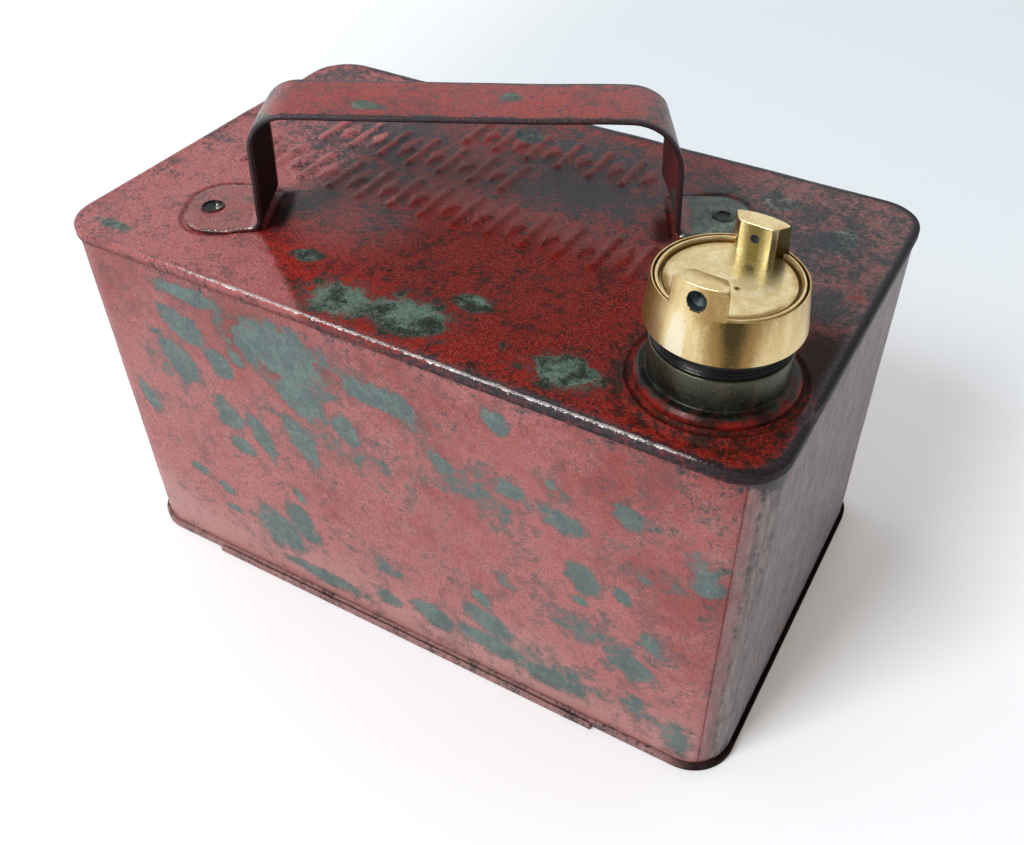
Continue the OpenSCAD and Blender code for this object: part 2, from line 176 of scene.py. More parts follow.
class Nodes:
    """Builds one material's nodes. An argument is a number, a colour or another node's socket."""

    def __init__(self, name):
        self.material = bpy.data.materials.new(name)
        self.material.use_nodes = True
        self.tree = self.material.node_tree
        self.tree.nodes.clear()

    def node(self, kind, settings=None, **inputs):
        node = self.tree.nodes.new(kind)
        for key, value in (settings or {}).items():
            setattr(node, key, value)
        for key, value in inputs.items():
            self.feed(node.inputs[key.replace("_", " ")], value)
        return node

    def feed(self, socket, value):
        if isinstance(value, bpy.types.NodeSocket):
            self.tree.links.new(value, socket)
        elif socket.type == "RGBA" and len(value) == 3:
            socket.default_value = (*value, 1)
        else:
            socket.default_value = value

    def place(self):
        return self.node("ShaderNodeTexCoord").outputs["Object"]

    def attribute(self, name):
        return self.node("ShaderNodeAttribute", {"attribute_name": name}).outputs["Fac"]

    def stretch(self, vector, scale):
        return self.node("ShaderNodeMapping", Vector=vector, Scale=scale).outputs["Vector"]

    def noise(self, vector, scale, detail=3.0, roughness=0.5, distortion=0.0):
        return self.node("ShaderNodeTexNoise", Vector=vector, Scale=scale, Detail=detail,
                         Roughness=roughness, Distortion=distortion).outputs["Fac"]

    def cells(self, vector, scale, feature="F1"):
        return self.node("ShaderNodeTexVoronoi", {"feature": feature}, Vector=vector,
                         Scale=scale).outputs["Distance"]

    def step(self, value, low, high):
        """0 below low and 1 above high, or the other way round if high is the smaller."""
        if low < high:
            ends = (low, high, 0.0, 1.0)
        else:
            ends = (high, low, 1.0, 0.0)
        node = self.node("ShaderNodeMapRange", {"interpolation_type": "SMOOTHSTEP"}, Value=value)
        for socket, number in zip(("From Min", "From Max", "To Min", "To Max"), ends):
            node.inputs[socket].default_value = number
        return node.outputs["Result"]

    def math(self, operation, a, b=0.0):
        node = self.node("ShaderNodeMath", {"operation": operation})
        self.feed(node.inputs[0], a)
        self.feed(node.inputs[1], b)
        return node.outputs["Value"]

    def mix(self, share, a, b, blend="MIX"):
        node = self.node("ShaderNodeMix", {"data_type": "RGBA", "blend_type": blend})
        self.feed(node.inputs["Factor"], share)
        self.feed(node.inputs[6], a)
        self.feed(node.inputs[7], b)
        return node.outputs[2]

    def blend(self, share, a, b):
        node = self.node("ShaderNodeMix", {"data_type": "FLOAT"})
        self.feed(node.inputs["Factor"], share)
        self.feed(node.inputs[2], a)
        self.feed(node.inputs[3], b)
        return node.outputs[0]

    def bump(self, height, distance, strength=1.0, normal=None):
        node = self.node("ShaderNodeBump", Height=height, Distance=distance, Strength=strength)
        if normal is not None:
            self.feed(node.inputs["Normal"], normal)
        return node.outputs["Normal"]

    def finish(self, **inputs):
        shader = self.node("ShaderNodeBsdfPrincipled", **inputs)
        output = self.node("ShaderNodeOutputMaterial")
        self.tree.links.new(shader.outputs["BSDF"], output.inputs["Surface"])
        return self.material


def srgb(red, green, blue):
    """A colour written in 0 to 255 as on screen, as Blender's linear numbers."""
    def linear(value):
        value /= 255
        return value / 12.92 if value <= 0.04045 else ((value + 0.055) / 1.055) ** 2.4
    return tuple(linear(value) for value in (red, green, blue))


def floor_material():
    """Pale paper. The camera sees it brighter, with a warm painted glow that shows most in its shadows, and its far
    right side painted greyer as shade.
    """
    n = Nodes("pale_floor")
    parts = n.node("ShaderNodeSeparateXYZ", Vector=n.place())
    # Painted shade: the floor behind the can, away to the right, is shown greyer.
    far = n.math("MULTIPLY", n.step(parts.outputs["X"], -0.5, -0.2), n.step(parts.outputs["Y"], 0.15, 0.4))
    seen = n.node("ShaderNodeLightPath").outputs["Is Camera Ray"]
    shown = n.mix(far, (1.21, 1.29, 1.39), (0.87, 0.925, 0.965))
    paper = n.node("ShaderNodeBsdfDiffuse", Color=n.mix(seen, (0.9, 0.92, 0.95), shown))
    # Painted glow: a warm emission seen only by the camera, which tints the floor's shadows.
    shade = n.node("ShaderNodeEmission", Color=n.mix(far, (0.5, 0.26, 0.0), (0.76, 0.82, 0.85)))
    mixed = n.node("ShaderNodeMixShader", Fac=n.math("MULTIPLY", seen, 0.2))
    output = n.node("ShaderNodeOutputMaterial")
    n.tree.links.new(paper.outputs["BSDF"], mixed.inputs[1])
    n.tree.links.new(shade.outputs["Emission"], mixed.inputs[2])
    n.tree.links.new(mixed.outputs["Shader"], output.inputs["Surface"])
    return n.material


def worn_paint(name, fresh, faded, stain, dusky, ground_tints, grime, gloss, sheen, grain_height, light_share):
    """Old paint over steel. Its mesh says where it is bare, dirty, worn, faded, grey, sooty and matt, and where shade,
    sheen and highlights are painted into it.
    """
    n = Nodes(name)
    place = n.place()
    broad = n.noise(place, 34, 3, 0.5)
    cloud = n.noise(place, 95, 5, 0.6, 0.3)
    ragged = n.noise(place, 210, 6, 0.65)
    grain = n.noise(place, 700, 4, 0.65)
    speck = n.noise(place, 1700, 2, 0.6)

    def swing(noise, amount):
        return n.math("MULTIPLY", n.math("SUBTRACT", noise, 0.5), amount)

    def total(*terms):
        result = terms[0]
        for term in terms[1:]:
            result = n.math("ADD", result, term)
        return result

    # Paint: its shade drifts, it is stained in clouds, and grains of dark and light break it up
    faded_share = n.step(total(n.attribute("faded"), swing(cloud, 1.3), swing(grain, 0.5)), 0.15, 0.85)
    paint = n.mix(faded_share, fresh, faded)
    paint = n.mix(n.attribute("fresh"), paint, srgb(168, 32, 18))
    stained = total(swing(cloud, 2.4), swing(ragged, 2.2), swing(grain, 2.6), 0.1)
    stain_share = n.blend(faded_share, 0.62, 0.42)
    paint = n.mix(n.math("MULTIPLY", n.step(stained, 0.0, 0.8), stain_share), paint, stain)
    paint = n.mix(n.math("MULTIPLY", n.step(grain, 0.51, 0.64), stain_share), paint, stain)
    light_grain = n.mix(faded_share, srgb(158, 84, 72), srgb(206, 160, 152))
    paint = n.mix(n.math("MULTIPLY", n.step(speck, 0.5, 0.32), n.blend(faded_share, 0.55, light_share)), paint,
                  light_grain)
    dark_grain = n.mix(faded_share, srgb(70, 10, 8), srgb(136, 62, 62))
    paint = n.mix(n.math("MULTIPLY", n.step(speck, 0.52, 0.66), n.blend(faded_share, 0.6, light_share)), paint,
                  dark_grain)
    # Pale dust where the paint is most faded. On the can's lower front it partly stands for a painted reflection of the
    # pale floor.
    dust_and_sheen = n.step(n.math("ADD", n.attribute("faded"), swing(grain, 0.5)), 0.95, 1.6)
    paint = n.mix(n.math("MULTIPLY", dust_and_sheen, 0.5), paint, srgb(198, 160, 154))
    dusk = n.step(total(n.noise(place, 62, 5, 0.62, 0.4), swing(ragged, 0.5), swing(grain, 0.4)), 0.5, 0.68)
    paint = n.mix(n.math("MULTIPLY", dusk, n.math("ADD", n.math("MULTIPLY", ragged, 0.6), 0.1)), paint, dusky)
    pits = n.step(total(n.noise(place, 330, 5, 0.7, 0.5), swing(broad, 0.35)), 0.66, 0.72)
    paint = n.mix(n.math("MULTIPLY", pits, 0.7), paint, srgb(66, 44, 50))

    # Where the paint has come away, and the brown edge it leaves
    bare_level = total(n.attribute("bare"), swing(cloud, 1.2), swing(ragged, 0.7), swing(grain, 0.45))
    bare = n.step(bare_level, 0.43, 0.6)
    edge = n.math("MULTIPLY", n.step(bare_level, 0.34, 0.46), n.math("SUBTRACT", 1.0, bare))
    light_ground, dark_ground = ground_tints
    ground = n.mix(n.step(total(cloud, swing(ragged, 0.8)), 0.36, 0.62), light_ground, dark_ground)
    ground = n.mix(n.math("MULTIPLY", n.step(n.noise(place, 150, 4, 0.6), 0.57, 0.7), 0.35), ground,
                   srgb(92, 80, 78))
    ground = n.mix(n.math("MULTIPLY", n.step(grain, 0.5, 0.64), 0.6), ground, dark_ground)
    ground = n.mix(n.math("MULTIPLY", n.step(speck, 0.46, 0.3), 0.4), ground, srgb(160, 172, 166))
    haze = n.math("MULTIPLY", n.step(bare_level, 0.18, 0.5), 0.34)
    colour = n.mix(haze, paint, n.mix(faded_share, srgb(66, 46, 38), srgb(122, 112, 106)))
    colour = n.mix(n.math("MULTIPLY", edge, 0.4), colour, srgb(84, 56, 56))
    colour = n.mix(n.math("MULTIPLY", bare, 0.94), colour, ground)

    # Grey-lilac with soft upright streaks where the mesh says. On the can's side away from the light, round the corner
    # to it and on the top's right back this is painted sheen, a grazing reflection of the pale floor; on the handle's
    # bends it is bare metal.
    streak = n.noise(n.stretch(place, (1, 1, 0.18)), 420, 6, 0.75)
    grey_tint = n.mix(n.step(streak, 0.32, 0.68), srgb(160, 146, 140), srgb(94, 84, 86))
    grey_cloud = total(cloud, swing(broad, 0.8), swing(grain, 0.6), n.math("MULTIPLY", n.attribute("grey_and_sheen"), 0.2))
    grey_and_sheen = n.math("MULTIPLY", n.attribute("grey_and_sheen"), n.step(grey_cloud, 0.22, 0.5))
    colour = n.mix(n.math("MULTIPLY", grey_and_sheen, 0.88), colour, grey_tint)

    # Grime, in clouds that leave the paint showing between them. Where the mesh marks it under the rim on the side away
    # from the light and along the foot recesses, the same darkening is painted shade.
    grime_level = total(n.attribute("dirt_and_shade"), swing(cloud, 1.1), swing(ragged, 1.2), swing(grain, 1.3))
    dirt_and_shade = n.step(grime_level, 0.26, 0.78)
    grime_tint = n.mix(n.step(grain, 0.4, 0.6), grime, srgb(26, 27, 30))
    grime_tint = n.mix(n.step(n.attribute("matt"), 0.5, 0.9), grime_tint, srgb(40, 28, 22))
    colour = n.mix(n.math("MULTIPLY", dirt_and_shade, 0.9), colour, grime_tint)

    # Black where neither light nor cleaning reaches: mostly painted shade under the strap, inside the legs and holes,
    # under the rim's skirt, in creases and at the legs' feet; along the lap seam it is a painted shadow line.
    colour = n.mix(n.math("MULTIPLY", n.attribute("shade_and_soot"), 0.94), colour, srgb(10, 3, 4))

    # Bright steel where an edge is rubbed through. On the rim's crest, the neck ring's crest and the can's front corner
    # it is also a painted highlight.
    worn_level = total(n.attribute("worn_and_glint"), swing(n.noise(place, 260, 5, 0.7), 1.3), swing(speck, 1.5))
    worn_and_glint = n.step(worn_level, 0.72, 0.86)
    colour = n.mix(worn_and_glint, colour, srgb(206, 196, 194))

    roughness = n.blend(bare, total(gloss, swing(grain, 0.24), swing(cloud, 0.2)), 0.48)
    roughness = n.blend(n.math("MULTIPLY", dirt_and_shade, 0.6), roughness, 0.32)
    roughness = n.blend(n.attribute("shade_and_soot"), roughness, 0.75)
    roughness = n.blend(worn_and_glint, roughness, 0.28)
    height = total(n.math("MULTIPLY", grain, 0.9), n.math("MULTIPLY", speck, 1.1),
                   n.math("MULTIPLY", ragged, 0.8), n.math("MULTIPLY", bare, -0.22),
                   n.math("MULTIPLY", pits, -0.3))
    normal = n.bump(height, grain_height * MM)
    return n.finish(Base_Color=colour, Roughness=roughness, Normal=normal,
                    Specular_IOR_Level=n.blend(n.math("MAXIMUM", n.attribute("shade_and_soot"), n.attribute("matt")), sheen, 0.05),
                    Metallic=n.math("MULTIPLY", worn_and_glint, 0.85))


def brass_material():
    """Turned and polished brass, tarnished in its channels and speckled where the polish missed; its mesh also paints
    reflection bands, highlights and shade into it.
    """
    n = Nodes("polished_brass")
    place = n.place()
    cloud = n.noise(place, 110, 5, 0.6)
    speck = n.noise(place, 1100, 4, 0.65)
    brushed = n.noise(n.stretch(place, (1, 1, 14)), 260, 4, 0.7)
    smear = n.noise(n.stretch(place, (1, 1, 0.2)), 240, 5, 0.65)
    level = n.math("ADD", n.attribute("tarnish_and_reflection"), n.math("MULTIPLY", n.math("SUBTRACT", cloud, 0.5), 0.2))
    level = n.math("ADD", level, n.math("MULTIPLY", n.math("SUBTRACT", smear, 0.5), 0.2))
    level = n.math("ADD", level, n.math("MULTIPLY", n.math("SUBTRACT", speck, 0.5), 0.3))
    tarnish_and_reflection = n.step(level, 0.1, 0.6)
    deep = n.step(level, 0.55, 0.98)
    bright = n.mix(n.step(smear, 0.34, 0.66), srgb(242, 220, 168), srgb(228, 198, 140))
    colour = n.mix(tarnish_and_reflection, bright, srgb(166, 130, 78))
    colour = n.mix(deep, colour, srgb(78, 66, 38))
    # Painted highlight: near-white where the mesh marks the brass brightest.
    gleam = n.step(level, 0.04, -0.14)
    colour = n.mix(n.math("MULTIPLY", gleam, 0.75), colour, srgb(255, 246, 216))
    pale = n.mix(n.step(level, 0.2, 0.9), srgb(148, 148, 128), srgb(86, 82, 58))
    colour = n.mix(n.attribute("pale"), colour, pale)
    spots = n.step(n.noise(place, 620, 3, 0.7), 0.68, 0.74)
    colour = n.mix(n.math("MULTIPLY", spots, 0.6), colour, srgb(96, 74, 44))
    black = n.step(level, 1.35, 1.5)
    colour = n.mix(black, colour, srgb(58, 68, 70))
    roughness = n.math("ADD", 0.22, n.math("MULTIPLY", cloud, 0.12))
    roughness = n.blend(tarnish_and_reflection, roughness, n.math("ADD", 0.4, n.math("MULTIPLY", smear, 0.12)))
    height = n.math("ADD", n.math("MULTIPLY", speck, 0.3), n.math("MULTIPLY", brushed, 0.5))
    normal = n.bump(n.math("ADD", height, n.math("MULTIPLY", cloud, 0.8)), 0.03 * MM)
    tangent = n.node("ShaderNodeTangent", {"direction_type": "RADIAL", "axis": "Z"}).outputs["Tangent"]
    return n.finish(Base_Color=colour, Metallic=n.blend(black, 1.0, 0.3), Roughness=roughness,
                    Normal=normal, Anisotropic=0.5, Tangent=tangent)


def dull_brass_material():
    n = Nodes("dull_brass")
    place = n.place()
    cloud = n.noise(place, 120, 4, 0.6)
    colour = n.mix(cloud, srgb(150, 124, 74), srgb(84, 72, 44))
    return n.finish(Base_Color=colour, Metallic=0.9, Roughness=n.math("ADD", 0.3, n.math("MULTIPLY", cloud, 0.3)),
                    Normal=n.bump(n.noise(place, 700, 3), 0.04 * MM))


def neck_material():
    """Tarnished olive steel with what is left of its red paint low down, and painted shade where the mesh marks it."""
    n = Nodes("tarnished_steel")
    place = n.place()
    drip = n.noise(n.stretch(place, (1, 1, 0.35)), 160, 5, 0.6)
    cloud = n.noise(place, 110, 5, 0.6)
    speck = n.noise(place, 800, 4, 0.65)
    steel = n.mix(n.step(cloud, 0.38, 0.6), srgb(62, 68, 56), srgb(12, 17, 14))
    steel = n.mix(n.step(drip, 0.53, 0.66), steel, srgb(72, 58, 38))
    steel = n.mix(n.math("MULTIPLY", n.step(speck, 0.55, 0.7), 0.6), steel, srgb(112, 114, 98))
    steel = n.mix(n.math("MULTIPLY", n.attribute("polished"), 0.5), steel, srgb(104, 102, 84))
    painted = n.math("ADD", n.attribute("painted"), n.math("MULTIPLY", n.math("SUBTRACT", drip, 0.5), 1.6))
    painted = n.math("ADD", painted, n.math("MULTIPLY", n.math("SUBTRACT", speck, 0.5), 0.7))
    painted = n.step(painted, 0.45, 0.75)
    red = n.mix(n.step(cloud, 0.38, 0.6), srgb(132, 30, 20), srgb(52, 20, 18))
    red = n.mix(n.math("MULTIPLY", n.step(speck, 0.5, 0.68), 0.5), red, srgb(30, 26, 22))
    colour = n.mix(painted, steel, red)
    # Painted shade where the mesh marks it.
    colour = n.mix(n.attribute("shade_and_soot"), colour, srgb(14, 10, 9))
    roughness = n.math("ADD", 0.2, n.math("MULTIPLY", speck, 0.2))
    height = n.math("ADD", n.math("MULTIPLY", speck, 0.6), n.math("MULTIPLY", drip, 1.2))
    return n.finish(Base_Color=colour, Metallic=n.math("MULTIPLY", n.math("SUBTRACT", 1.0, painted), 0.7),
                    Roughness=roughness, Specular_IOR_Level=n.blend(painted, 0.5, 0.16),
                    Normal=n.bump(height, 0.16 * MM))


def rubber_material():
    n = Nodes("black_rubber")
    place = n.place()
    cloud = n.noise(place, 260, 4, 0.6)
    colour = n.mix(cloud, srgb(3, 3, 4), srgb(14, 15, 16))
    return n.finish(Base_Color=colour, Roughness=n.math("ADD", 0.1, n.math("MULTIPLY", cloud, 0.2)),
                    Specular_IOR_Level=0.25, Normal=n.bump(cloud, 0.12 * MM))


def dull_steel_material(name, light, dark, roughness):
    n = Nodes(name)
    place = n.place()
    cloud = n.noise(place, 210, 5, 0.6)
    speck = n.noise(place, 1300, 3, 0.6)
    colour = n.mix(n.step(cloud, 0.3, 0.7), light, dark)
    return n.finish(Base_Color=colour, Metallic=0.85,
                    Roughness=n.math("ADD", roughness, n.math("MULTIPLY", speck, 0.2)),
                    Normal=n.bump(n.math("ADD", cloud, n.math("MULTIPLY", speck, 0.5)), 0.1 * MM))


# Noise and distance fields for the meshes

def lattice_noise(points, size, seed):
    """Smooth noise from -1 to 1 with features of the given size, in metres."""
    table = np.random.default_rng(seed).uniform(-1, 1, 4096)
    scaled = points / size
    cell = np.floor(scaled).astype(np.int64)
    part = scaled - cell
    part = part * part * (3 - 2 * part)
    total = np.zeros(len(points))
    for corner in range(8):
        offset = np.array([corner & 1, corner >> 1 & 1, corner >> 2 & 1])
        weight = np.prod(np.where(offset, part, 1 - part), axis=1)
        key = cell + offset
        index = (key[:, 0] * 73856093 ^ key[:, 1] * 19349663 ^ key[:, 2] * 83492791) & 4095
        total += weight * table[index]
    return total


def smooth(value, low, high):
    """0 below low, 1 above high, with a smooth rise between them."""
    share = np.clip((value - low) / (high - low), 0, 1)
    return share * share * (3 - 2 * share)


def box_distance(x, y, half_x, half_y, radius):
    """Distance outside a rounded rectangle on the origin, less than 0 inside."""
    over_x = np.abs(x) - half_x + radius
    over_y = np.abs(y) - half_y + radius
    outside = np.hypot(np.maximum(over_x, 0), np.maximum(over_y, 0))
    return outside + np.minimum(np.maximum(over_x, over_y), 0) - radius


def bar_distance(x, y, start, end, radius):
    """Distance outside a round-ended bar from start to end."""
    along = np.array(end) - np.array(start)
    share = ((x - start[0]) * along[0] + (y - start[1]) * along[1]) / (along @ along)
    share = np.clip(share, 0, 1)
    return np.hypot(x - start[0] - share * along[0], y - start[1] - share * along[1]) - radius


def patches(across, up, spots, strength=1.0, lean=0.0):
    """Field with a hill at each spot (left, right, low, high in mm): half its strength at the edge."""
    field = np.zeros(len(across))
    for left, right, low, high in spots:
        rise = up / MM - (low + high) / 2
        reach = np.hypot((across / MM + lean * rise - (left + right) / 2) / (right - left),
                         rise / (high - low)) * 2
        field = np.maximum(field, strength * np.clip(1.1 - 0.6 * reach, 0, 1))
    return field


def scattered(points, size, seed, level):
    """Field for bare patches that no photograph shows, in clusters."""
    rough = lattice_noise(points, size, seed) + 0.5 * lattice_noise(points, size / 2.3, seed + 1)
    return smooth(rough, level, level + 0.9)


# Meshes

def add_piece(name, points, faces, material, body, nodes=(), fields=None):
    """A mesh piece in the shared frame, riding on a body and standing for CAD nodes."""
    mesh = bpy.data.meshes.new(name)
    mesh.from_pydata([tuple(point) for point in points], [], [tuple(face) for face in faces])
    mesh.materials.append(material)
    mesh.polygons.foreach_set("use_smooth", [True] * len(mesh.polygons))
    for key, values in (fields or {}).items():
        layer = mesh.attributes.new(key, "FLOAT", "POINT")
        layer.data.foreach_set("value", np.asarray(values, dtype=np.float32))
    mesh.update()
    piece = bpy.data.objects.new(name, mesh)
    bpy.context.scene.collection.objects.link(piece)
    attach(piece, body)
    if nodes:
        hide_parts(*nodes)
    return piece


def grid_faces(rows, columns, wrap_columns=False, wrap_rows=False, start=0):
    """Quads between neighbours of a grid that is numbered row by row."""
    row = np.arange(rows if wrap_rows else rows - 1)
    column = np.arange(columns if wrap_columns else columns - 1)
    a, b = np.meshgrid(row, column, indexing="ij")
    next_a = (a + 1) % rows
    next_b = (b + 1) % columns
    quads = np.stack([a * columns + b, a * columns + next_b,
                      next_a * columns + next_b, next_a * columns + b], -1)
    return quads.reshape(-1, 4) + start


def rounded_loop(length, width, radius, step, corner_steps):
    """Round the can anticlockwise from above: core points, outward directions and side numbers."""
    half = np.array([length / 2 - radius, width / 2 - radius])
    corners = half * np.array([[-1, -1], [1, -1], [1, 1], [-1, 1]])
    core, outward = [], []
    for side in range(4):
        begin, end = corners[side], corners[(side + 1) % 4]
        angle = math.radians(90 * side - 90)
        count = max(2, round(np.linalg.norm(end - begin) / step))
        for share in np.arange(count) / count:
            core.append(begin + (end - begin) * share)
            outward.append([math.cos(angle), math.sin(angle)])
        turns = corner_steps[side]
        for share in np.arange(turns) / turns:
            turn = angle + math.radians(90) * share
            core.append(end)
            outward.append([math.cos(turn), math.sin(turn)])
    return np.array(core), np.array(outward)


def swept_points(core, outward, section):
    """Carries a section of (distance from the core, height) round a loop."""
    section = np.asarray(section)
    flat = core[None] + outward[None] * section[:, 0, None, None]
    heights = np.broadcast_to(section[:, 1, None, None], flat.shape[:2] + (1,))
    return np.concatenate([flat, heights], axis=2)


def rounded_section(corners, steps=5):
    """A polyline with its corners rounded. Each corner is (x, y, radius)."""
    result = []
    for index, (x, y, radius) in enumerate(corners):
        here = np.array([x, y])
        if radius == 0 or index in (0, len(corners) - 1):
            result.append(here)
            continue
        before = np.array(corners[index - 1][:2]) - here
        after = np.array(corners[index + 1][:2]) - here
        reach_before, reach_after = np.linalg.norm(before), np.linalg.norm(after)
        before, after = before / reach_before, after / reach_after
        half = math.acos(np.clip(before @ after, -1, 1)) / 2
        reach = min(radius / math.tan(half), 0.49 * reach_before, 0.49 * reach_after)
        radius = reach * math.tan(half)
        middle = here + (before + after) / np.linalg.norm(before + after) * radius / math.sin(half)
        first = here + before * reach - middle
        last = here + after * reach - middle
        angle = math.atan2(first[0] * last[1] - first[1] * last[0], first @ last)
        for share in np.linspace(0, 1, steps + 1):
            turn = angle * share
            spin = np.array([[math.cos(turn), -math.sin(turn)], [math.sin(turn), math.cos(turn)]])
            result.append(middle + spin @ first)
    return np.array(result)


def turned_piece(name, section, centre, material, body, nodes=(), fields=None, segments=160,
                 closed=False, wobble=0.0, point_fields=None):
    """A turned piece: a section of (radius, height) carried round an upright axis."""
    section = np.asarray(section)
    angles = np.arange(segments) * 2 * math.pi / segments
    radii = np.maximum(section[:, 0], 0.02 * MM)
    points = np.stack([radii[:, None] * np.cos(angles) + centre[0],
                       radii[:, None] * np.sin(angles) + centre[1],
                       np.repeat(section[:, 1, None], segments, 1)], -1).reshape(-1, 3)
    if wobble:
        outward = points - np.array([*centre, 0])
        outward[:, 2] = 0
        outward /= np.linalg.norm(outward, axis=1, keepdims=True)
        points += outward * (lattice_noise(points, 9 * MM, 61) * wobble)[:, None]
    faces = [tuple(face) for face in grid_faces(len(section), segments, wrap_columns=True,
                                                wrap_rows=closed)]
    if not closed:
        for row, order in ((0, -1), (len(section) - 1, 1)):
            if radii[row] < 0.1 * MM:
                faces.append(tuple(row * segments + np.arange(segments)[::order]))
    layers = {key: np.repeat(np.asarray(values), segments) for key, values in (fields or {}).items()}
    layers.update({key: field(points) for key, field in (point_fields or {}).items()})
    return add_piece(name, points, faces, material, body, nodes, layers)


def helix_piece(name, centre, radius, crest, half_base, half_crest, low, high, pitch, start,
                material, body):
    """A screw thread: a ridge from radius to crest that climbs a right-hand helix."""
    turns = (high - low) / pitch
    count = int(turns * 72)
    angle = start + np.arange(count + 1) / count * turns * 2 * math.pi
    height = low + (high - low) * np.arange(count + 1) / count
    fade = np.minimum(smooth(np.arange(count + 1), 0, 9), smooth(count - np.arange(count + 1), 0, 9))
    rows = []
    for side_radius, side_height in ((radius, -half_base), (crest, -half_crest),
                                     (crest, half_crest), (radius, half_base)):
        r = radius + (side_radius - radius) * fade
        rows.append(np.stack([centre[0] + r * np.cos(angle), centre[1] + r * np.sin(angle),
                              height + side_height], -1))
    points = np.stack(rows).reshape(-1, 3)
    return add_piece(name, points, grid_faces(4, count + 1), material, body)


# The can's sheet metal

# Bare patches read off the long face, in mm: left, right, low, high
FRONT_PATCHES = [
    (-103, -71, 153, 161), (-70, -20, 130, 159), (-104, -84, 130, 146), (-110, -92, 110, 130),
    (-84, -72, 120, 133), (-71, -64, 128, 137), (-50, -26, 114, 136), (-22, -8, 112, 125),
    (-86, -72, 89, 106), (-68, -58, 81, 105), (-47, -33, 88, 112), (-81, -70, 77, 87),
    (-132, -123, 81, 98), (-51, -45, 60, 68), (-79, -52, 23, 47), (-58, -43, 36, 55),
    (-113, -103, 50, 56), (-97, -90, 44, 52), (-96, -88, 32, 37), (-62, -24, 10, 19),
    (-12, 2, 16, 25), (7, 26, 17, 32), (28, 64, 16, 30), (60, 92, 13, 24), (34, 58, 30, 45),
    (39, 48, 46, 58), (-16, 20, 136, 148), (47, 58, 148, 158), (83, 96, 84, 98), (102, 109, 86, 94),
    (84, 92, 75, 80),
]
# Fainter ones, the same way
FRONT_FAINT = [
    (22, 36, 112, 132), (44, 70, 114, 130), (66, 92, 110, 124), (128, 142, 100, 134), (94, 130, 40, 60),
    (104, 124, 20, 34), (120, 142, 6, 32), (66, 84, 126, 138), (98, 112, 126, 138), (50, 62, 62, 74),
    (112, 126, 62, 76),
]
# Places on the long face where the paint has thinned to a stain, the same way
FRONT_STAINS = [
    (-60, 20, 90, 118), (-6, 34, 124, 150), (10, 80, 96, 128), (60, 128, 44, 74), (30, 120, 8, 40),
    (88, 138, 96, 120), (-30, 20, 30, 56), (-122, -96, 96, 128),
]
# The same for the top, seen from above: left, right, near, far
TOP_PATCHES = [
    (-35, -6, -88, -66), (-12, 24, -84, -62), (58, 85, -82, -65), (120, 134, 43, 63),
    (-55, -44, -64, -56), (-139, -123, -83, -78), (16, 30, -60, -50), (88, 104, 62, 74),
    (-120, -108, 40, 52), (-30, -16, 60, 72),
]


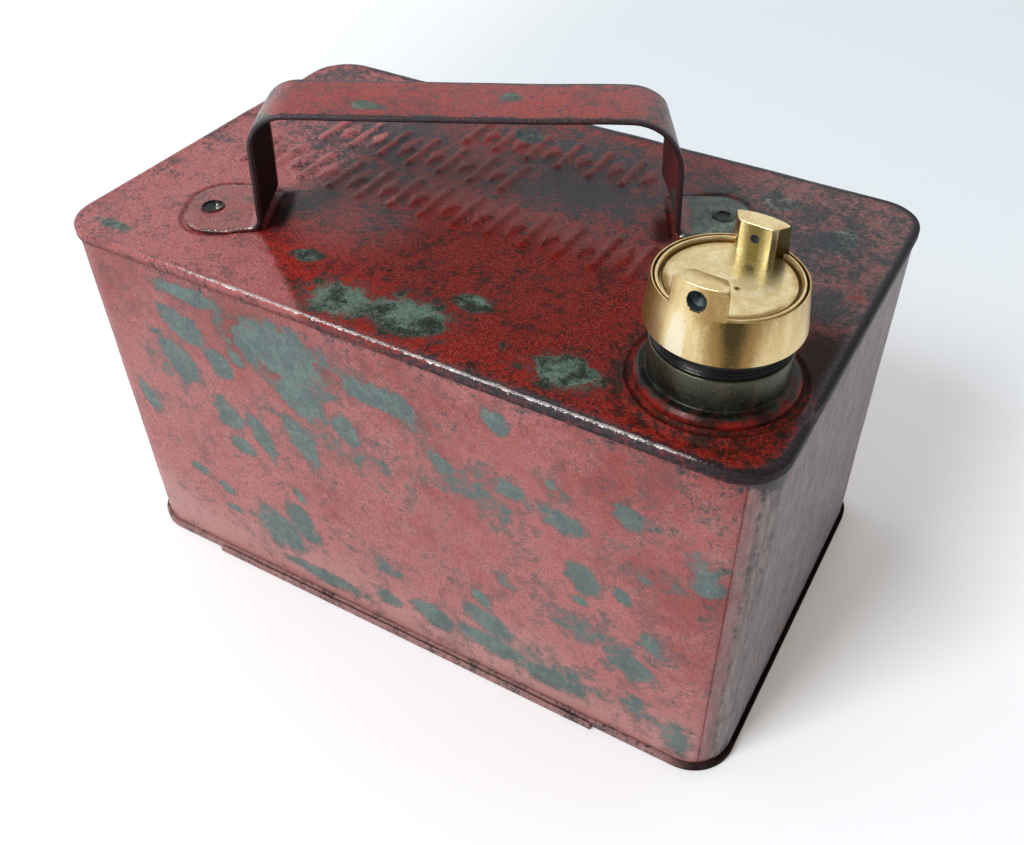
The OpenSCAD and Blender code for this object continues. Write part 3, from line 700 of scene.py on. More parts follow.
def wall_piece(material):
    """The bent sheet, dented a little, with its lapped seam on the corner by the camera."""
    seam_corner = 1
    corner_steps = [22, 22, 22, 22]
    corner_steps[seam_corner - 1] = 110
    core, outward = rounded_loop(WALL_LENGTH, WALL_WIDTH, WALL_RADIUS, 1.7 * MM, corner_steps)
    heights = np.linspace(wall_low[2], wall_high[2], 102)
    section = [(WALL_RADIUS, z) for z in heights]
    points = swept_points(core, outward, section).reshape(-1, 3)
    direction = np.tile(np.concatenate([outward, np.zeros((len(outward), 1))], 1), (len(section), 1))
    z = points[:, 2]

    hold = smooth(z, 5 * MM, 22 * MM) * smooth(RIM_Z - z, 6 * MM, 22 * MM)
    flat = smooth(np.abs(direction).max(axis=1), 0.9, 1.0)
    dent = 0.55 * lattice_noise(points, 55 * MM, 11) * flat + 0.16 * lattice_noise(points, 19 * MM, 12)
    dent += 0.035 * lattice_noise(points, 6 * MM, 13)
    offset = (dent * hold - 0.1) * MM

    # The lap: its edge stands 0.5 mm proud 33 degrees round the corner, and dies away beyond it
    turn = np.degrees(np.arctan2(direction[:, 0], -direction[:, 1]))
    corner = (turn > 0.5) & (turn < 89.5)
    lap = np.where(corner, smooth(turn, 32.5, 33.6) * (1 - smooth(turn, 50, 84)), 0)
    offset += 0.5 * MM * lap * smooth(RIM_Z - z, 4.5 * MM, 5 * MM) * smooth(z, 4.4 * MM, 4.9 * MM)
    points = points + direction * offset[:, None]

    front = smooth(-direction[:, 1], 0.7, 0.95)
    right = smooth(direction[:, 0], 0.55, 0.9)
    away = 1 - np.maximum(front, right)
    bare = patches(points[:, 0], z, FRONT_PATCHES, 1.0, 0.35) * front
    bare = np.maximum(bare, patches(points[:, 0], z, FRONT_FAINT, 0.7, 0.35) * front)
    bare = np.maximum(bare, patches(points[:, 0], z, FRONT_STAINS, 0.5, 0.35) * front)
    bare = np.maximum(bare, scattered(points, 17 * MM, 21, 0.45) * 0.62 * away)
    bare = np.maximum(bare, 0.24 * scattered(points, 24 * MM, 23, -0.2))
    low_edge = 1 - smooth(z, 4 * MM, 10 * MM)
    high_edge = 1 - smooth(RIM_Z - z, 4 * MM, 11 * MM)
    high_band = 1 - smooth(RIM_Z - z, 5 * MM, 17 * MM)

    def at_turn(middle, width):
        return np.where(corner, np.exp(-((turn - middle) / width) ** 2), 0)

    dirt_and_shade = np.maximum(0.4 * high_edge, 0.12 * low_edge)
    high_front = front * smooth(z, 112 * MM, 156 * MM)
    by_seam = front * smooth(points[:, 0], 92 * MM, 138 * MM)
    dirt_and_shade += 0.08 * high_front + 0.08 * by_seam
    # Painted shade: the side away from the light is darker, most of all in a band under the rim, and the rim's
    # underside darkens round the corner towards it.
    dirt_and_shade += 0.22 * high_edge * smooth(turn, 10, 30) + 0.16 * right + 0.75 * high_band * right
    dirt_and_shade += 0.34 * at_turn(49, 4) + 0.3 * at_turn(78, 8)
    # Round the corner: a light band at 54 degrees, partly wear and partly painted highlight; a bright line on the lap's
    # edge at 35; beside it at 31.8 a dark line, the painted shadow of the lap's step.
    worn_and_glint = 0.46 * at_turn(54, 3) + 0.3 * at_turn(35, 1)
    shade_and_soot = 0.5 * at_turn(31.8, 1.4)
    # The lower front is faded paler: partly real fading, partly a painted reflection of the pale floor.
    low_front = front * (1 - smooth(z, 6 * MM, 76 * MM))
    faded = 0.7 * front + 0.85 * low_front - 0.24 * high_front - 0.16 * by_seam + 0.4 * away + 0.25 * right + 0.25 * lattice_noise(points, 34 * MM, 31)
    # Painted sheen: grey from the lap seam round the corner and over the side away from the light, for a grazing
    # reflection of the pale floor.
    grey_and_sheen = np.where(corner, 0.55 * smooth(turn, 32, 34) + 0.45 * smooth(turn, 42, 56), right)
    fields = {"bare": bare, "dirt_and_shade": np.clip(dirt_and_shade, 0, 1), "worn_and_glint": worn_and_glint, "faded": np.clip(faded, 0, 1.6),
              "grey_and_sheen": grey_and_sheen, "shade_and_soot": shade_and_soot}

    # The inside of the sheet, with few rows, joined on at both ends
    inner = swept_points(core, outward, [(WALL_RADIUS - SHEET, heights[-1]), (WALL_RADIUS - SHEET, heights[0])])
    columns = len(core)
    points = np.concatenate([points, inner.reshape(-1, 3)])
    fields = {key: np.concatenate([values, np.zeros(2 * columns)]) for key, values in fields.items()}
    faces = grid_faces(len(section) + 2, columns, wrap_columns=True, wrap_rows=True)
    return add_piece("wall_sheet", points, faces, material, "can", ["body_wrapper"], fields)


# Where grime lies on the top, the same way, as dense as its key says
TOP_GRIME = {
    0.95: [(-102, -62, -46, -8), (-24, 64, 10, 62), (133, 156, -76, 12)],
    0.84: [(-130, -30, -6, 78), (-50, 70, 50, 84), (56, 106, 26, 76), (118, 150, -16, 24)],
    0.74: [(76, 160, -4, 96), (-156, -112, 16, 96), (0, 76, -98, -84), (76, 160, -96, -70)],
    0.62: [(-60, -24, -38, -6), (-150, -120, -60, -18), (-138, -114, -90, -76), (-154, -136, -16, 10)],
    0.36: [(-80, 84, -90, -2)],
}
# The line that the faded, sheen-painted left end of the top stops at: the direction away from it, and how far off it
# lies
SHEEN_AND_FADE_END = (0.582, 0.812, -90.6)


# Three rows of a plain bar-and-lozenge ornament pressed into the top: left, right, near and far in mm
RELIEF_ROWS = [(-122, 66, -13, 9), (-104, -8, 20, 42), (-46, 40, 49, 70)]
RELIEF_PITCH = 7.8
LOZENGE_WIDTH = 9.5


def relief_height(x, y):
    """How far the ornament stands up, from 0 to 1: bars and domed lozenges by turns."""
    height = np.zeros(x.shape)
    for left, right, near, far in RELIEF_ROWS:
        middle = (near + far) / 2 * MM
        half = (far - near) / 2 * MM
        for index, at in enumerate(np.arange(left, right, RELIEF_PITCH) * MM):
            if index % 2:
                reach = np.abs(x - at) / (LOZENGE_WIDTH / 2 * MM) + np.abs(y - middle) / half
                rise = smooth(1.1 - reach, 0, 0.7)
            else:
                away = bar_distance(x, y, (at, near * MM), (at, far * MM), 1.2 * MM)
                rise = smooth(-away, -1.7 * MM, 0.5 * MM)
            height = np.maximum(height, rise)
    return height


def strap_frame(x, y):
    """Places on the top in the strap's own line: along it and across it."""
    return x * ALONG[0] + y * ALONG[1], x * ACROSS[0] + y * ACROSS[1] - STRAP_SHIFT


def recess_distance(x, y):
    """Distance outside the nearer foot's recess."""
    along, across = strap_frame(x, y)
    nearest = np.full(x.shape, 1.0)
    for foot, inner in ((LEFT_FOOT, -91 * MM), (RIGHT_FOOT, 69.6 * MM)):
        low, high = foot["ends"]
        middle = (low + high) / 2
        pad = box_distance(along - middle, across - 0.9 * MM, (high - low) / 2 + 2.2 * MM,
                           foot["width"] / 2 + 2.2 * MM, foot["corner"] + 2.2 * MM)
        bend = box_distance(along - (middle + inner) / 2, across, abs(inner - middle) / 2,
                            STRAP_WIDTH / 2 + 1.2 * MM, 3 * MM)
        nearest = np.minimum(nearest, np.minimum(pad, bend))
    return nearest


def top_height(x, y):
    """Height of the pressed top, without its rim and the ring round its neck."""
    points = np.stack([x, y, np.zeros_like(x)], -1)
    edge = -box_distance(x, y, RIM_LENGTH / 2, RIM_WIDTH / 2, RIM_RADIUS)
    hold = smooth(edge, 4 * MM, 22 * MM) * smooth(np.hypot(x - NECK[0], y - NECK[1]), 33 * MM, 42 * MM)
    recess = recess_distance(x, y)
    hold = hold * smooth(recess, 2 * MM, 14 * MM)
    height = (0.42 * lattice_noise(points, 46 * MM, 41) + 0.13 * lattice_noise(points, 15 * MM, 42)) * MM * hold
    height += 0.03 * MM * lattice_noise(points, 5 * MM, 43)
    height -= RECESS_DEPTH * smooth(-recess, -0.7 * MM, 0.6 * MM)
    height += 1.15 * MM * relief_height(x, y) * smooth(recess, 0, 4 * MM)
    return PANEL_Z + height


def top_fields(points):
    """Where the top's paint is bare, dirty, worn through and faded, and where shade, sheen and highlights are painted
    into it.
    """
    x, y = points[:, 0], points[:, 1]
    edge = -box_distance(x, y, RIM_LENGTH / 2, RIM_WIDTH / 2, RIM_RADIUS)
    neck = np.hypot(x - NECK[0], y - NECK[1])
    recess = recess_distance(x, y)
    ornament = relief_height(x, y)
    bare = patches(x, y, TOP_PATCHES)
    right_back = smooth(x, 60 * MM, 90 * MM) * smooth(y, -20 * MM, 10 * MM)
    bare = np.maximum(bare, (0.44 + 0.12 * right_back) * scattered(points, 15 * MM, 51, 0.5))
    dirt_and_shade = np.zeros(len(points))
    for strength, spots in TOP_GRIME.items():
        dirt_and_shade = np.maximum(dirt_and_shade, patches(x, y, spots, strength))
    dirt_and_shade = dirt_and_shade * (1 - 0.65 * ornament)
    front = smooth(-y, 78 * MM, 88 * MM) * (1 - smooth(x, 120 * MM, 140 * MM))
    left_side = smooth(-x, 120 * MM, 148 * MM)
    near_edge = 1 - smooth(edge, 1.6 * MM, 6 * MM)
    dirt_and_shade = np.maximum(dirt_and_shade, near_edge * (0.95 - 0.35 * front * (1 - smooth(x, 0, 80 * MM)) - 0.4 * left_side))
    dirt_and_shade = np.maximum(dirt_and_shade, 0.62 * (1 - smooth(neck, 34 * MM, 44 * MM)))
    # Painted shade: darker along the foot recesses' edges.
    dirt_and_shade = np.maximum(dirt_and_shade, 0.55 * np.exp(-((recess + 0.2 * MM) / (0.8 * MM)) ** 2))
    # A bright line on the rim's crest, strongest along the front, and on the neck ring's crest: partly rubbed steel,
    # partly painted highlight.
    crest = np.exp(-((edge - 1.0 * MM) / (1.0 * MM)) ** 2)
    worn_and_glint = (0.3 + 0.62 * front * smooth(x, -150 * MM, -50 * MM) + 0.08 * front) * crest + 0.36 * np.exp(-((neck - 31.6 * MM) / (0.8 * MM)) ** 2)
    # The left end is painted paler up to a sharp line: faded paint, and a painted reflection of the bright window on
    # the left.
    past_end = x * SHEEN_AND_FADE_END[0] + y * SHEEN_AND_FADE_END[1] - SHEEN_AND_FADE_END[2] * MM
    past_end = smooth(past_end + 0.6 * MM * lattice_noise(points, 4 * MM, 54), -1 * MM, 3 * MM)
    near_side = smooth(-y, 50 * MM, 58 * MM)
    sheen_and_fade_left = smooth(-x, 72 * MM, 84 * MM) * (1 - near_side) + (1 - past_end) * near_side
    faded = 0.8 * sheen_and_fade_left + 0.3 * ornament * smooth(-x, -30 * MM, 60 * MM)
    faded = faded + 0.15 * lattice_noise(points, 26 * MM, 53)
    fresh = patches(x, y, [(-90, -36, -94, -46), (-50, -10, -96, -62)])
    fresh = np.maximum(fresh, patches(x, y, [(-20, 60, -96, -78), (84, 134, -95, -80)], 0.44))
    fresh = fresh * np.where(y < -50 * MM, past_end, 1)
    dirt_and_shade = dirt_and_shade * (1 - 0.6 * fresh) * (1 - 0.6 * sheen_and_fade_left * smooth(-y, 2 * MM, 20 * MM))
    along, across = strap_frame(x, y)
    # Painted shadow: black at the feet of both legs and along the recess edges.
    shade_and_soot = 0.85 * (1 - smooth(np.abs(along + 88.4 * MM), 1.5 * MM, 6 * MM)) * (1 - smooth(np.abs(across), 12 * MM, 18 * MM))
    by_right_leg = (1 - smooth(np.abs(along - 67 * MM), 1.5 * MM, 6 * MM)) * (1 - smooth(across, -6 * MM, 4 * MM))
    shade_and_soot = np.maximum(shade_and_soot, 0.8 * by_right_leg * (1 - smooth(-across, 17 * MM, 22 * MM)))
    shade_and_soot = np.maximum(shade_and_soot, 0.5 * np.exp(-((recess - 0.2 * MM) / (0.5 * MM)) ** 2))
    matt = (1 - sheen_and_fade_left) * (0.32 + 0.63 * smooth(-y, -4 * MM, 14 * MM)) * (1 - 0.85 * near_edge)
    matt = matt * (1 - 0.95 * smooth(patches(x, y, [(-104, -36, -54, -4)]), 0.1, 0.7))
    # Painted sheen: the top's right back is greyed, a reflection of the pale room.
    grey_and_sheen = 0.4 * smooth(x, 56 * MM, 96 * MM) * smooth(y, -30 * MM, 10 * MM)
    return {"bare": bare, "dirt_and_shade": np.clip(dirt_and_shade, 0, 1), "worn_and_glint": worn_and_glint, "faded": np.clip(faded, 0, 1),
            "fresh": fresh, "shade_and_soot": shade_and_soot, "matt": matt, "grey_and_sheen": grey_and_sheen}


def top_pieces(material):
    """The pressed top as a fine grid, its rolled rim and the ring pressed round the neck."""
    step = 0.9 * MM
    inset = 3.2 * MM
    half_x, half_y = RIM_LENGTH / 2 - inset, RIM_WIDTH / 2 - inset
    radius = RIM_RADIUS - inset
    columns, rows = round(2 * half_x / step) + 1, round(2 * half_y / step) + 1
    x, y = np.meshgrid(np.linspace(-half_x, half_x, columns), np.linspace(-half_y, half_y, rows))
    x, y = x.ravel(), y.ravel()
    outside = box_distance(x, y, half_x, half_y, radius)
    corner = np.stack([np.sign(x) * (half_x - radius), np.sign(y) * (half_y - radius)], -1)
    place = np.stack([x, y], -1)
    push = place - corner
    length = np.maximum(np.linalg.norm(push, axis=1), 1e-9)
    pulled = corner + push * (radius / length)[:, None]
    place = np.where((outside > 0)[:, None], pulled, place)
    neck = np.hypot(place[:, 0] - NECK[0], place[:, 1] - NECK[1])
    points = np.stack([place[:, 0], place[:, 1], top_height(place[:, 0], place[:, 1])], -1)
    faces = grid_faces(rows, columns)
    keep = (outside[faces] < 0.75 * step).all(axis=1) & (neck[faces] > 33.4 * MM).all(axis=1)
    used = np.unique(faces[keep])
    order = np.full(len(points), -1)
    order[used] = np.arange(len(used))
    sheet = add_piece("top_sheet", points[used], order[faces[keep]], material, "can",
                      ["top_panel"], top_fields(points[used]))

    core, outward = rounded_loop(RIM_LENGTH, RIM_WIDTH, RIM_RADIUS, 1.6 * MM, [26] * 4)
    skirt_z = RIM_Z - 4.4 * MM
    corners = [(-1.0, skirt_z / MM + 0.3, 0), (-0.9, skirt_z / MM, 0.2), (0, skirt_z / MM, 0.35),
               (0, RIM_Z / MM, 1.5), (-2.4, RIM_Z / MM, 1.2), (-3.6, PANEL_Z / MM + 0.02, 0.8),
               (-4.8, PANEL_Z / MM + 0.02, 0)]
    section = rounded_section(corners, 6) * MM + np.array([RIM_RADIUS, 0])
    rim = swept_points(core, outward, section).reshape(-1, 3)
    wave = lattice_noise(rim * np.array([1, 1, 0]), 21 * MM, 44) * 0.16 * MM
    nick = lattice_noise(rim * np.array([1, 1, 0]), 5 * MM, 45) * 0.06 * MM
    free = np.repeat(smooth(section[:, 0], RIM_RADIUS - 4.2 * MM, RIM_RADIUS - 2.4 * MM), len(core))
    rim[:, 2] += (wave + nick - 0.2 * MM) * free
    flat = np.repeat(section[:, 0] < RIM_RADIUS - 3.0 * MM, len(core))
    rim[flat, 2] = np.where(free[flat] > 0, rim[flat, 2],
                            top_height(rim[flat, 0], rim[flat, 1]) + 0.02 * MM)
    fields = top_fields(rim)
    skirt = smooth(RIM_Z - rim[:, 2], 1.2 * MM, 2.6 * MM)
    right_side = smooth(rim[:, 0], 136 * MM, 150 * MM)
    # Painted shadow: black along the skirt's lower edge.
    under = 1 - smooth(rim[:, 2] - skirt_z, 0.3 * MM, 1.5 * MM)
    fields["shade_and_soot"] = np.maximum(fields["shade_and_soot"] * (1 - skirt), 0.6 * under)
    # Painted shade: the rim's rounding goes dark towards the right, away from the light.
    rounded = np.repeat(smooth(section[:, 0], RIM_RADIUS - 3.4 * MM, RIM_RADIUS - 1.6 * MM), len(core))
    fields["shade_and_soot"] = np.maximum(fields["shade_and_soot"], 0.58 * smooth(rim[:, 0], 100 * MM, 142 * MM) * rounded)
    skirt_dirt = 0.3 + 0.4 * smooth(rim[:, 0], -90 * MM, 100 * MM) + 0.25 * right_side
    fields["dirt_and_shade"] = np.clip(np.maximum(fields["dirt_and_shade"] * (1 - skirt), skirt_dirt * skirt), 0, 1)
    fields["worn_and_glint"] = fields["worn_and_glint"] * (1 - skirt) + 0.1 * skirt
    fields["faded"] = np.maximum(fields["faded"], 0.75 * skirt)
    fields["fresh"] = fields["fresh"] * (1 - skirt)
    fields["matt"] = fields["matt"] * (1 - skirt)
    edge = add_piece("top_rim", rim, grid_faces(len(section), len(core), wrap_columns=True), material,
                     "can", ["top_panel"], fields)

    radii = np.linspace(23.2, 36, 50) * MM
    ring = ring_height(radii)
    angles = np.arange(240) * 2 * math.pi / 240
    px = NECK[0] + radii[:, None] * np.cos(angles)
    py = NECK[1] + radii[:, None] * np.sin(angles)
    px, py = px.ravel(), py.ravel()
    base = top_height(px, py)
    points = np.stack([px, py, base + np.repeat(ring, 240) + 0.03 * MM], -1)
    points[:, 2] += 0.2 * MM * lattice_noise(points, 9 * MM, 46)
    boss = add_piece("neck_boss", points, grid_faces(50, 240, wrap_columns=True)[:, ::-1], material,
                     "can", ["top_panel"], top_fields(points))
    return sheet, edge, boss


def ring_height(radius):
    """The ring pressed round the neck: a seat, a groove and a raised ring, above the flat top."""
    seat = 2.0 * (1 - smooth(radius, 28.2 * MM, 29.0 * MM))
    valley = 0.9 * smooth(radius, 28.2 * MM, 29.0 * MM)
    ridge = 1.1 * np.exp(-((radius - 31.6 * MM) / (1.2 * MM)) ** 2)
    fall = 1 - smooth(radius, 31.6 * MM, 34.6 * MM)
    return (seat + (valley + ridge) * np.where(radius > 28.6 * MM, fall, 1) * smooth(radius, 28.2 * MM, 29 * MM)) * MM


def base_pieces(material):
    """The folded base, its open hems and the raised floor inside it."""
    core, outward = rounded_loop(WALL_LENGTH, WALL_WIDTH, WALL_RADIUS, 2.4 * MM, [24] * 4)
    out = BASE_OUT / MM
    corners = [(0.1, 4.2, 0), (0.6, 4.4, 0.3), (out, 4.4, 0.45), (out, 0, 0.7), (-1.8, 0, 0.7),
               (-1.8, 3.0, 0.5), (-6, 3.0, 0)]
    section = rounded_section(corners, 5) * MM + np.array([WALL_RADIUS, 0])
    points = swept_points(core, outward, section).reshape(-1, 3)
    wave = np.repeat(smooth(section[:, 1], 3 * MM, 4 * MM) * (section[:, 0] > WALL_RADIUS), len(core))
    points[:, 2] += wave * (0.12 * lattice_noise(points, 17 * MM, 71) - 0.12) * MM
    fields = base_fields(points)
    fold = add_piece("base_fold", points, grid_faces(len(section), len(core), wrap_columns=True)[:, ::-1],
                     material, "can", ["bottom_panel"], fields)

    columns, rows = 96, 58
    x, y = np.meshgrid(np.linspace(-WALL_LENGTH / 2 + 4 * MM, WALL_LENGTH / 2 - 4 * MM, columns),
                       np.linspace(-WALL_WIDTH / 2 + 4 * MM, WALL_WIDTH / 2 - 4 * MM, rows))
    x, y = x.ravel(), y.ravel()
    distance = box_distance(x, y, WALL_LENGTH / 2 - 4 * MM, WALL_WIDTH / 2 - 4 * MM, WALL_RADIUS - 4 * MM)
    points = np.stack([x, y, np.zeros_like(x)], -1)
    points[:, 2] = 3.02 * MM + 0.3 * MM * smooth(-distance, 0, 40 * MM) * (1 + lattice_noise(points, 40 * MM, 72))
    faces = grid_faces(rows, columns)
    faces = faces[(distance[faces] < 1.5 * MM).all(axis=1)]
    floor = add_piece("base_floor", points, faces[:, ::-1], material, "can",
                      ["bottom_panel"], base_fields(points))

    hems = []
    wall_y = WALL_WIDTH / 2 + BASE_OUT
    for side, name in ((-1, "front_hem"), (1, "back_hem")):
        hem = rounded_section([(-0.7, 0.85, 0), (0.75, 0.85, 0.1), (1.0, 1.1, 0.25), (1.0, 4.2, 0.3),
                               (1.8, 4.2, 0.3), (1.8, 0, 0.6), (-0.7, 0, 0)], 4) * MM
        x = np.linspace(-105.5, 97, 170) * MM
        rows, columns = len(hem), len(x)
        points = np.zeros((rows, columns, 3))
        points[:, :, 0] = x
        points[:, :, 1] = side * (wall_y + hem[:, 0, None])
        points[:, :, 2] = hem[:, 1, None]
        points = points.reshape(-1, 3)
        high = smooth(points[:, 2], 1.5 * MM, 4 * MM)
        points[:, 2] += high * (0.22 * lattice_noise(points * np.array([1, 0, 0]), 13 * MM, 73) - 0.2) * MM
        points[:, 1] -= side * high * (0.14 + 0.14 * lattice_noise(points * np.array([1, 0, 0]), 19 * MM, 74)) * MM
        faces = [tuple(face) for face in grid_faces(rows, columns, wrap_rows=True)]
        faces.append(tuple(np.arange(rows) * columns))
        faces.append(tuple((np.arange(rows) * columns + columns - 1)[::-1]))
        hems.append(add_piece(name, points, faces, material, "can", ["bottom_panel"],
                              base_fields(points)))
    return [fold, floor, *hems]


def base_fields(points):
    """Where the base's paint is bare, dirty, worn through and faded, and its right end painted black as shade."""
    front = smooth(-points[:, 1], 80 * MM, 90 * MM)
    bare = 0.42 * scattered(points, 12 * MM, 75, 0.2)
    dirt_and_shade = 0.62 - 0.3 * front + 0.15 * lattice_noise(points, 11 * MM, 76)
    worn_and_glint = 0.35 * smooth(points[:, 2], 3.6 * MM, 4.3 * MM) * front
    faded = 0.9 * front
    # Painted shade: the right end, away from the light, is black.
    right = smooth(points[:, 0], 124 * MM, 144 * MM)
    return {"bare": bare, "dirt_and_shade": np.clip(dirt_and_shade, 0, 1), "worn_and_glint": worn_and_glint, "faded": faded, "grey_and_sheen": 0.45 * front,
            "shade_and_soot": 0.97 * right}


# The handle

def handle_path():
    """The strap's middle line, (along it, height), and how far round it each point lies."""
    foot_z = (FOOT_Z - STRAP_THICKNESS / 2) / MM
    top_z = RIM_Z / MM + 47.9
    corners = [(LEFT_FOOT["ends"][0] / MM, foot_z, 0), (-93.6, foot_z, 4.6), (-91.7, top_z, 15),
               (71.5, top_z, 20), (72.0, foot_z, 4.6), (RIGHT_FOOT["ends"][1] / MM, foot_z, 0)]
    rough = rounded_section(corners, 14) * MM
    lengths = np.concatenate([[0], np.cumsum(np.linalg.norm(np.diff(rough, axis=0), axis=1))])
    end = 15 * MM
    close = np.concatenate([np.array([0, 0.06, 0.25, 0.6, 1.1, 1.8]) * MM, np.arange(2.6, 15, 1.0) * MM])
    middle = np.arange(end, lengths[-1] - end, 1.3 * MM)
    places = np.concatenate([close, middle, lengths[-1] - close[::-1]])
    path = np.stack([np.interp(places, lengths, rough[:, axis]) for axis in (0, 1)], -1)
    return path, places, lengths[-1]


# Bare patches on the strap in mm: from and to along it, from and to across it
HANDLE_PATCHES = [(-55, -43, -10, -3), (2, 10, 0, 6)]


def handle_piece(material):
    """The bent strap, its edges rounded, its right leg a little twisted as the photograph shows."""
    path, places, total = handle_path()
    tangent = np.gradient(path, axis=0)
    tangent /= np.linalg.norm(tangent, axis=1, keepdims=True)
    outward = np.stack([-tangent[:, 1], tangent[:, 0]], -1)
    flat = np.abs(tangent[:, 1]) < 0.2
    width = np.full(len(path), STRAP_WIDTH)
    for foot, distance, near in ((LEFT_FOOT, places, path[:, 0] < -90 * MM),
                                 (RIGHT_FOOT, total - places, path[:, 0] > 70 * MM)):
        length = foot["ends"][1] - foot["ends"][0]
        radius = foot["corner"]
        inset = radius - np.sqrt(np.clip(radius ** 2 - (radius - np.minimum(distance, radius)) ** 2, 0, None))
        wide = foot["width"] - 2 * inset
        share = 1 - smooth(distance, length - 9 * MM, length + 1 * MM)
        width = np.where(near, STRAP_WIDTH + (wide - STRAP_WIDTH) * share, width)

    across_share = np.linspace(-0.5, 0.5, 15)
    half = STRAP_THICKNESS / 2
    edge = 0.75 * MM
    rows = []
    for share in across_share:
        rows.append((share, 0.0, 1.0))
    for angle in np.radians([60, 30, 0, -30, -60]):
        rows.append((0.5, math.cos(angle) * edge, math.sin(angle)))
    for share in across_share[::-1]:
        rows.append((share, 0.0, -1.0))
    for angle in np.radians([-60, -30, 0, 30, 60]):
        rows.append((-0.5, -math.cos(angle) * edge, math.sin(angle)))
    rows = np.array(rows)
    inner_width = width[None, :] - 2 * edge
    across = rows[:, 0, None] * inner_width + rows[:, 1, None]
    crown = 0.25 * MM * (1 - (2 * rows[:, 0, None]) ** 2) * (1 - flat * (np.abs(path[:, 1] - path[0, 1]) < 3 * MM))
    lift = rows[:, 2, None] * half + crown
    bend = 0.35 * MM * lattice_noise(np.stack([places, 0 * places, 0 * places], -1), 30 * MM, 81)
    grip = smooth(path[:, 1], FOOT_Z + 6 * MM, FOOT_Z + 20 * MM)
    lift = lift + bend * grip
    along = path[:, 0] + outward[:, 0] * lift
    height = path[:, 1] + outward[:, 1] * lift
    leg = (smooth(path[:, 0], 60 * MM, 68 * MM) * smooth(path[:, 1] - FOOT_Z, 0, 12 * MM)
           * smooth(RIM_Z + 46 * MM - path[:, 1], 0, 16 * MM))
    along = along - 4.3 * MM * leg * (across / STRAP_WIDTH + 0.5)
    flat_place = along[..., None] * ALONG + (across + STRAP_SHIFT)[..., None] * ACROSS
    points = np.concatenate([flat_place, height[..., None]], -1).reshape(-1, 3)
    columns = len(path)
    faces = [tuple(face) for face in grid_faces(len(rows), columns, wrap_rows=True)[:, ::-1]]
    faces.append(tuple(np.arange(len(rows)) * columns))
    faces.append(tuple((np.arange(len(rows)) * columns + columns - 1)[::-1]))

    share = np.abs(across / np.maximum(width, 1e-6)).reshape(-1) * 2
    outer = np.repeat(rows[:, 2] > 0, columns)
    spot = np.tile(path, (len(rows), 1))
    grip_top = smooth(points[:, 2], RIM_Z + 40 * MM, RIM_Z + 46 * MM)
    bend_zone = smooth(points[:, 2], RIM_Z + 26 * MM, RIM_Z + 38 * MM) * (1 - smooth(points[:, 2], RIM_Z + 46.5 * MM, RIM_Z + 48.6 * MM))
    bare = 0.46 * scattered(points, 12 * MM, 82, 0.25) + 0.3 * bend_zone
    side = np.repeat(np.abs(rows[:, 0]) > 0.49, columns)
    left_foot = np.tile(smooth(-path[:, 0], 94 * MM, 98 * MM), len(rows))
    dirt_and_shade = np.where(side, 1.0 - 0.5 * left_foot, 0.32 * smooth(share, 0.75, 1.0))
    right_foot = smooth(path[:, 0], 74 * MM, 80 * MM)
    dirt_and_shade = dirt_and_shade + 0.3 * bend_zone * outer + 0.2 * np.tile(right_foot, len(rows))
    dirt_and_shade = dirt_and_shade + 0.2 * outer * smooth(spot[:, 0], -10 * MM, 30 * MM) * (1 - np.tile(right_foot, len(rows)))
    bare = np.maximum(bare, 0.72 * np.tile(right_foot, len(rows)))
    inner = (~outer) & ~side
    # Painted shade: the strap's inner face is dark, and black on the left leg.
    shade_and_soot = np.where(inner & (spot[:, 0] < -70 * MM), 0.97, np.where(inner, 0.6, 0.0))
    worn_and_glint = 0.42 * np.exp(-((share - 0.97) / 0.04) ** 2) * outer + 0.3 * side * left_foot
    faded = np.where(outer, 0.2 + 0.5 * left_foot, 0.0) + 0.2 * lattice_noise(points, 21 * MM, 83)
    bends = np.maximum(1 - smooth(spot[:, 0], -91 * MM, -80 * MM), 0.8 * smooth(spot[:, 0], 60 * MM, 68 * MM))
    bends = bends * smooth(points[:, 2], RIM_Z + 26 * MM, RIM_Z + 38 * MM) * outer
    green = patches(spot[:, 0], across.reshape(-1), HANDLE_PATCHES) * outer
    leg_green = patches(across.reshape(-1), points[:, 2] - FOOT_Z, [(-13, -3, 3, 22)], 0.8)
    green = np.maximum(green, leg_green * inner * (spot[:, 0] > 60 * MM))
    fresh = patches(spot[:, 0], across.reshape(-1), [(-90, -16, -13, 13), (-6, 44, -12, 12)], 0.8) * outer
    fields = {"bare": np.maximum(bare, green), "dirt_and_shade": np.clip(dirt_and_shade, 0, 1), "worn_and_glint": worn_and_glint,
              "faded": np.clip(faded, 0, 1), "shade_and_soot": shade_and_soot, "grey_and_sheen": 0.95 * bends, "fresh": fresh}
    return add_piece("handle_band", points, faces, material, "can", ["handle_strap"], fields)


def rivet_piece(name, node, place, mouth, material):
    """A hollow rivet, rolled over at its mouth."""
    centre = place * ALONG + STRAP_SHIFT * ACROSS
    top = FOOT_Z / MM
    section = rounded_section([(4.9, top - 0.3, 0), (4.85, top + 0.3, 0.3), (mouth + 0.35, top + 0.6, 0.3),
                               (mouth, top + 0.4, 0.3), (mouth - 0.2, top + 0.06, 0.1), (0, top + 0.05, 0)], 5) * MM
    painted = smooth(section[:, 0], (mouth + 0.1) * MM, (mouth + 0.4) * MM) * (0.3 + 0.7 * (mouth > 4))
    # Painted shade: black inside the mouth.
    shade_and_soot = 1 - smooth(section[:, 0], mouth * MM, (mouth + 0.3) * MM)
    return turned_piece(name, section, centre, material, "can", [node],
                        {"painted": painted, "shade_and_soot": shade_and_soot}, 64, wobble=0.1 * MM)


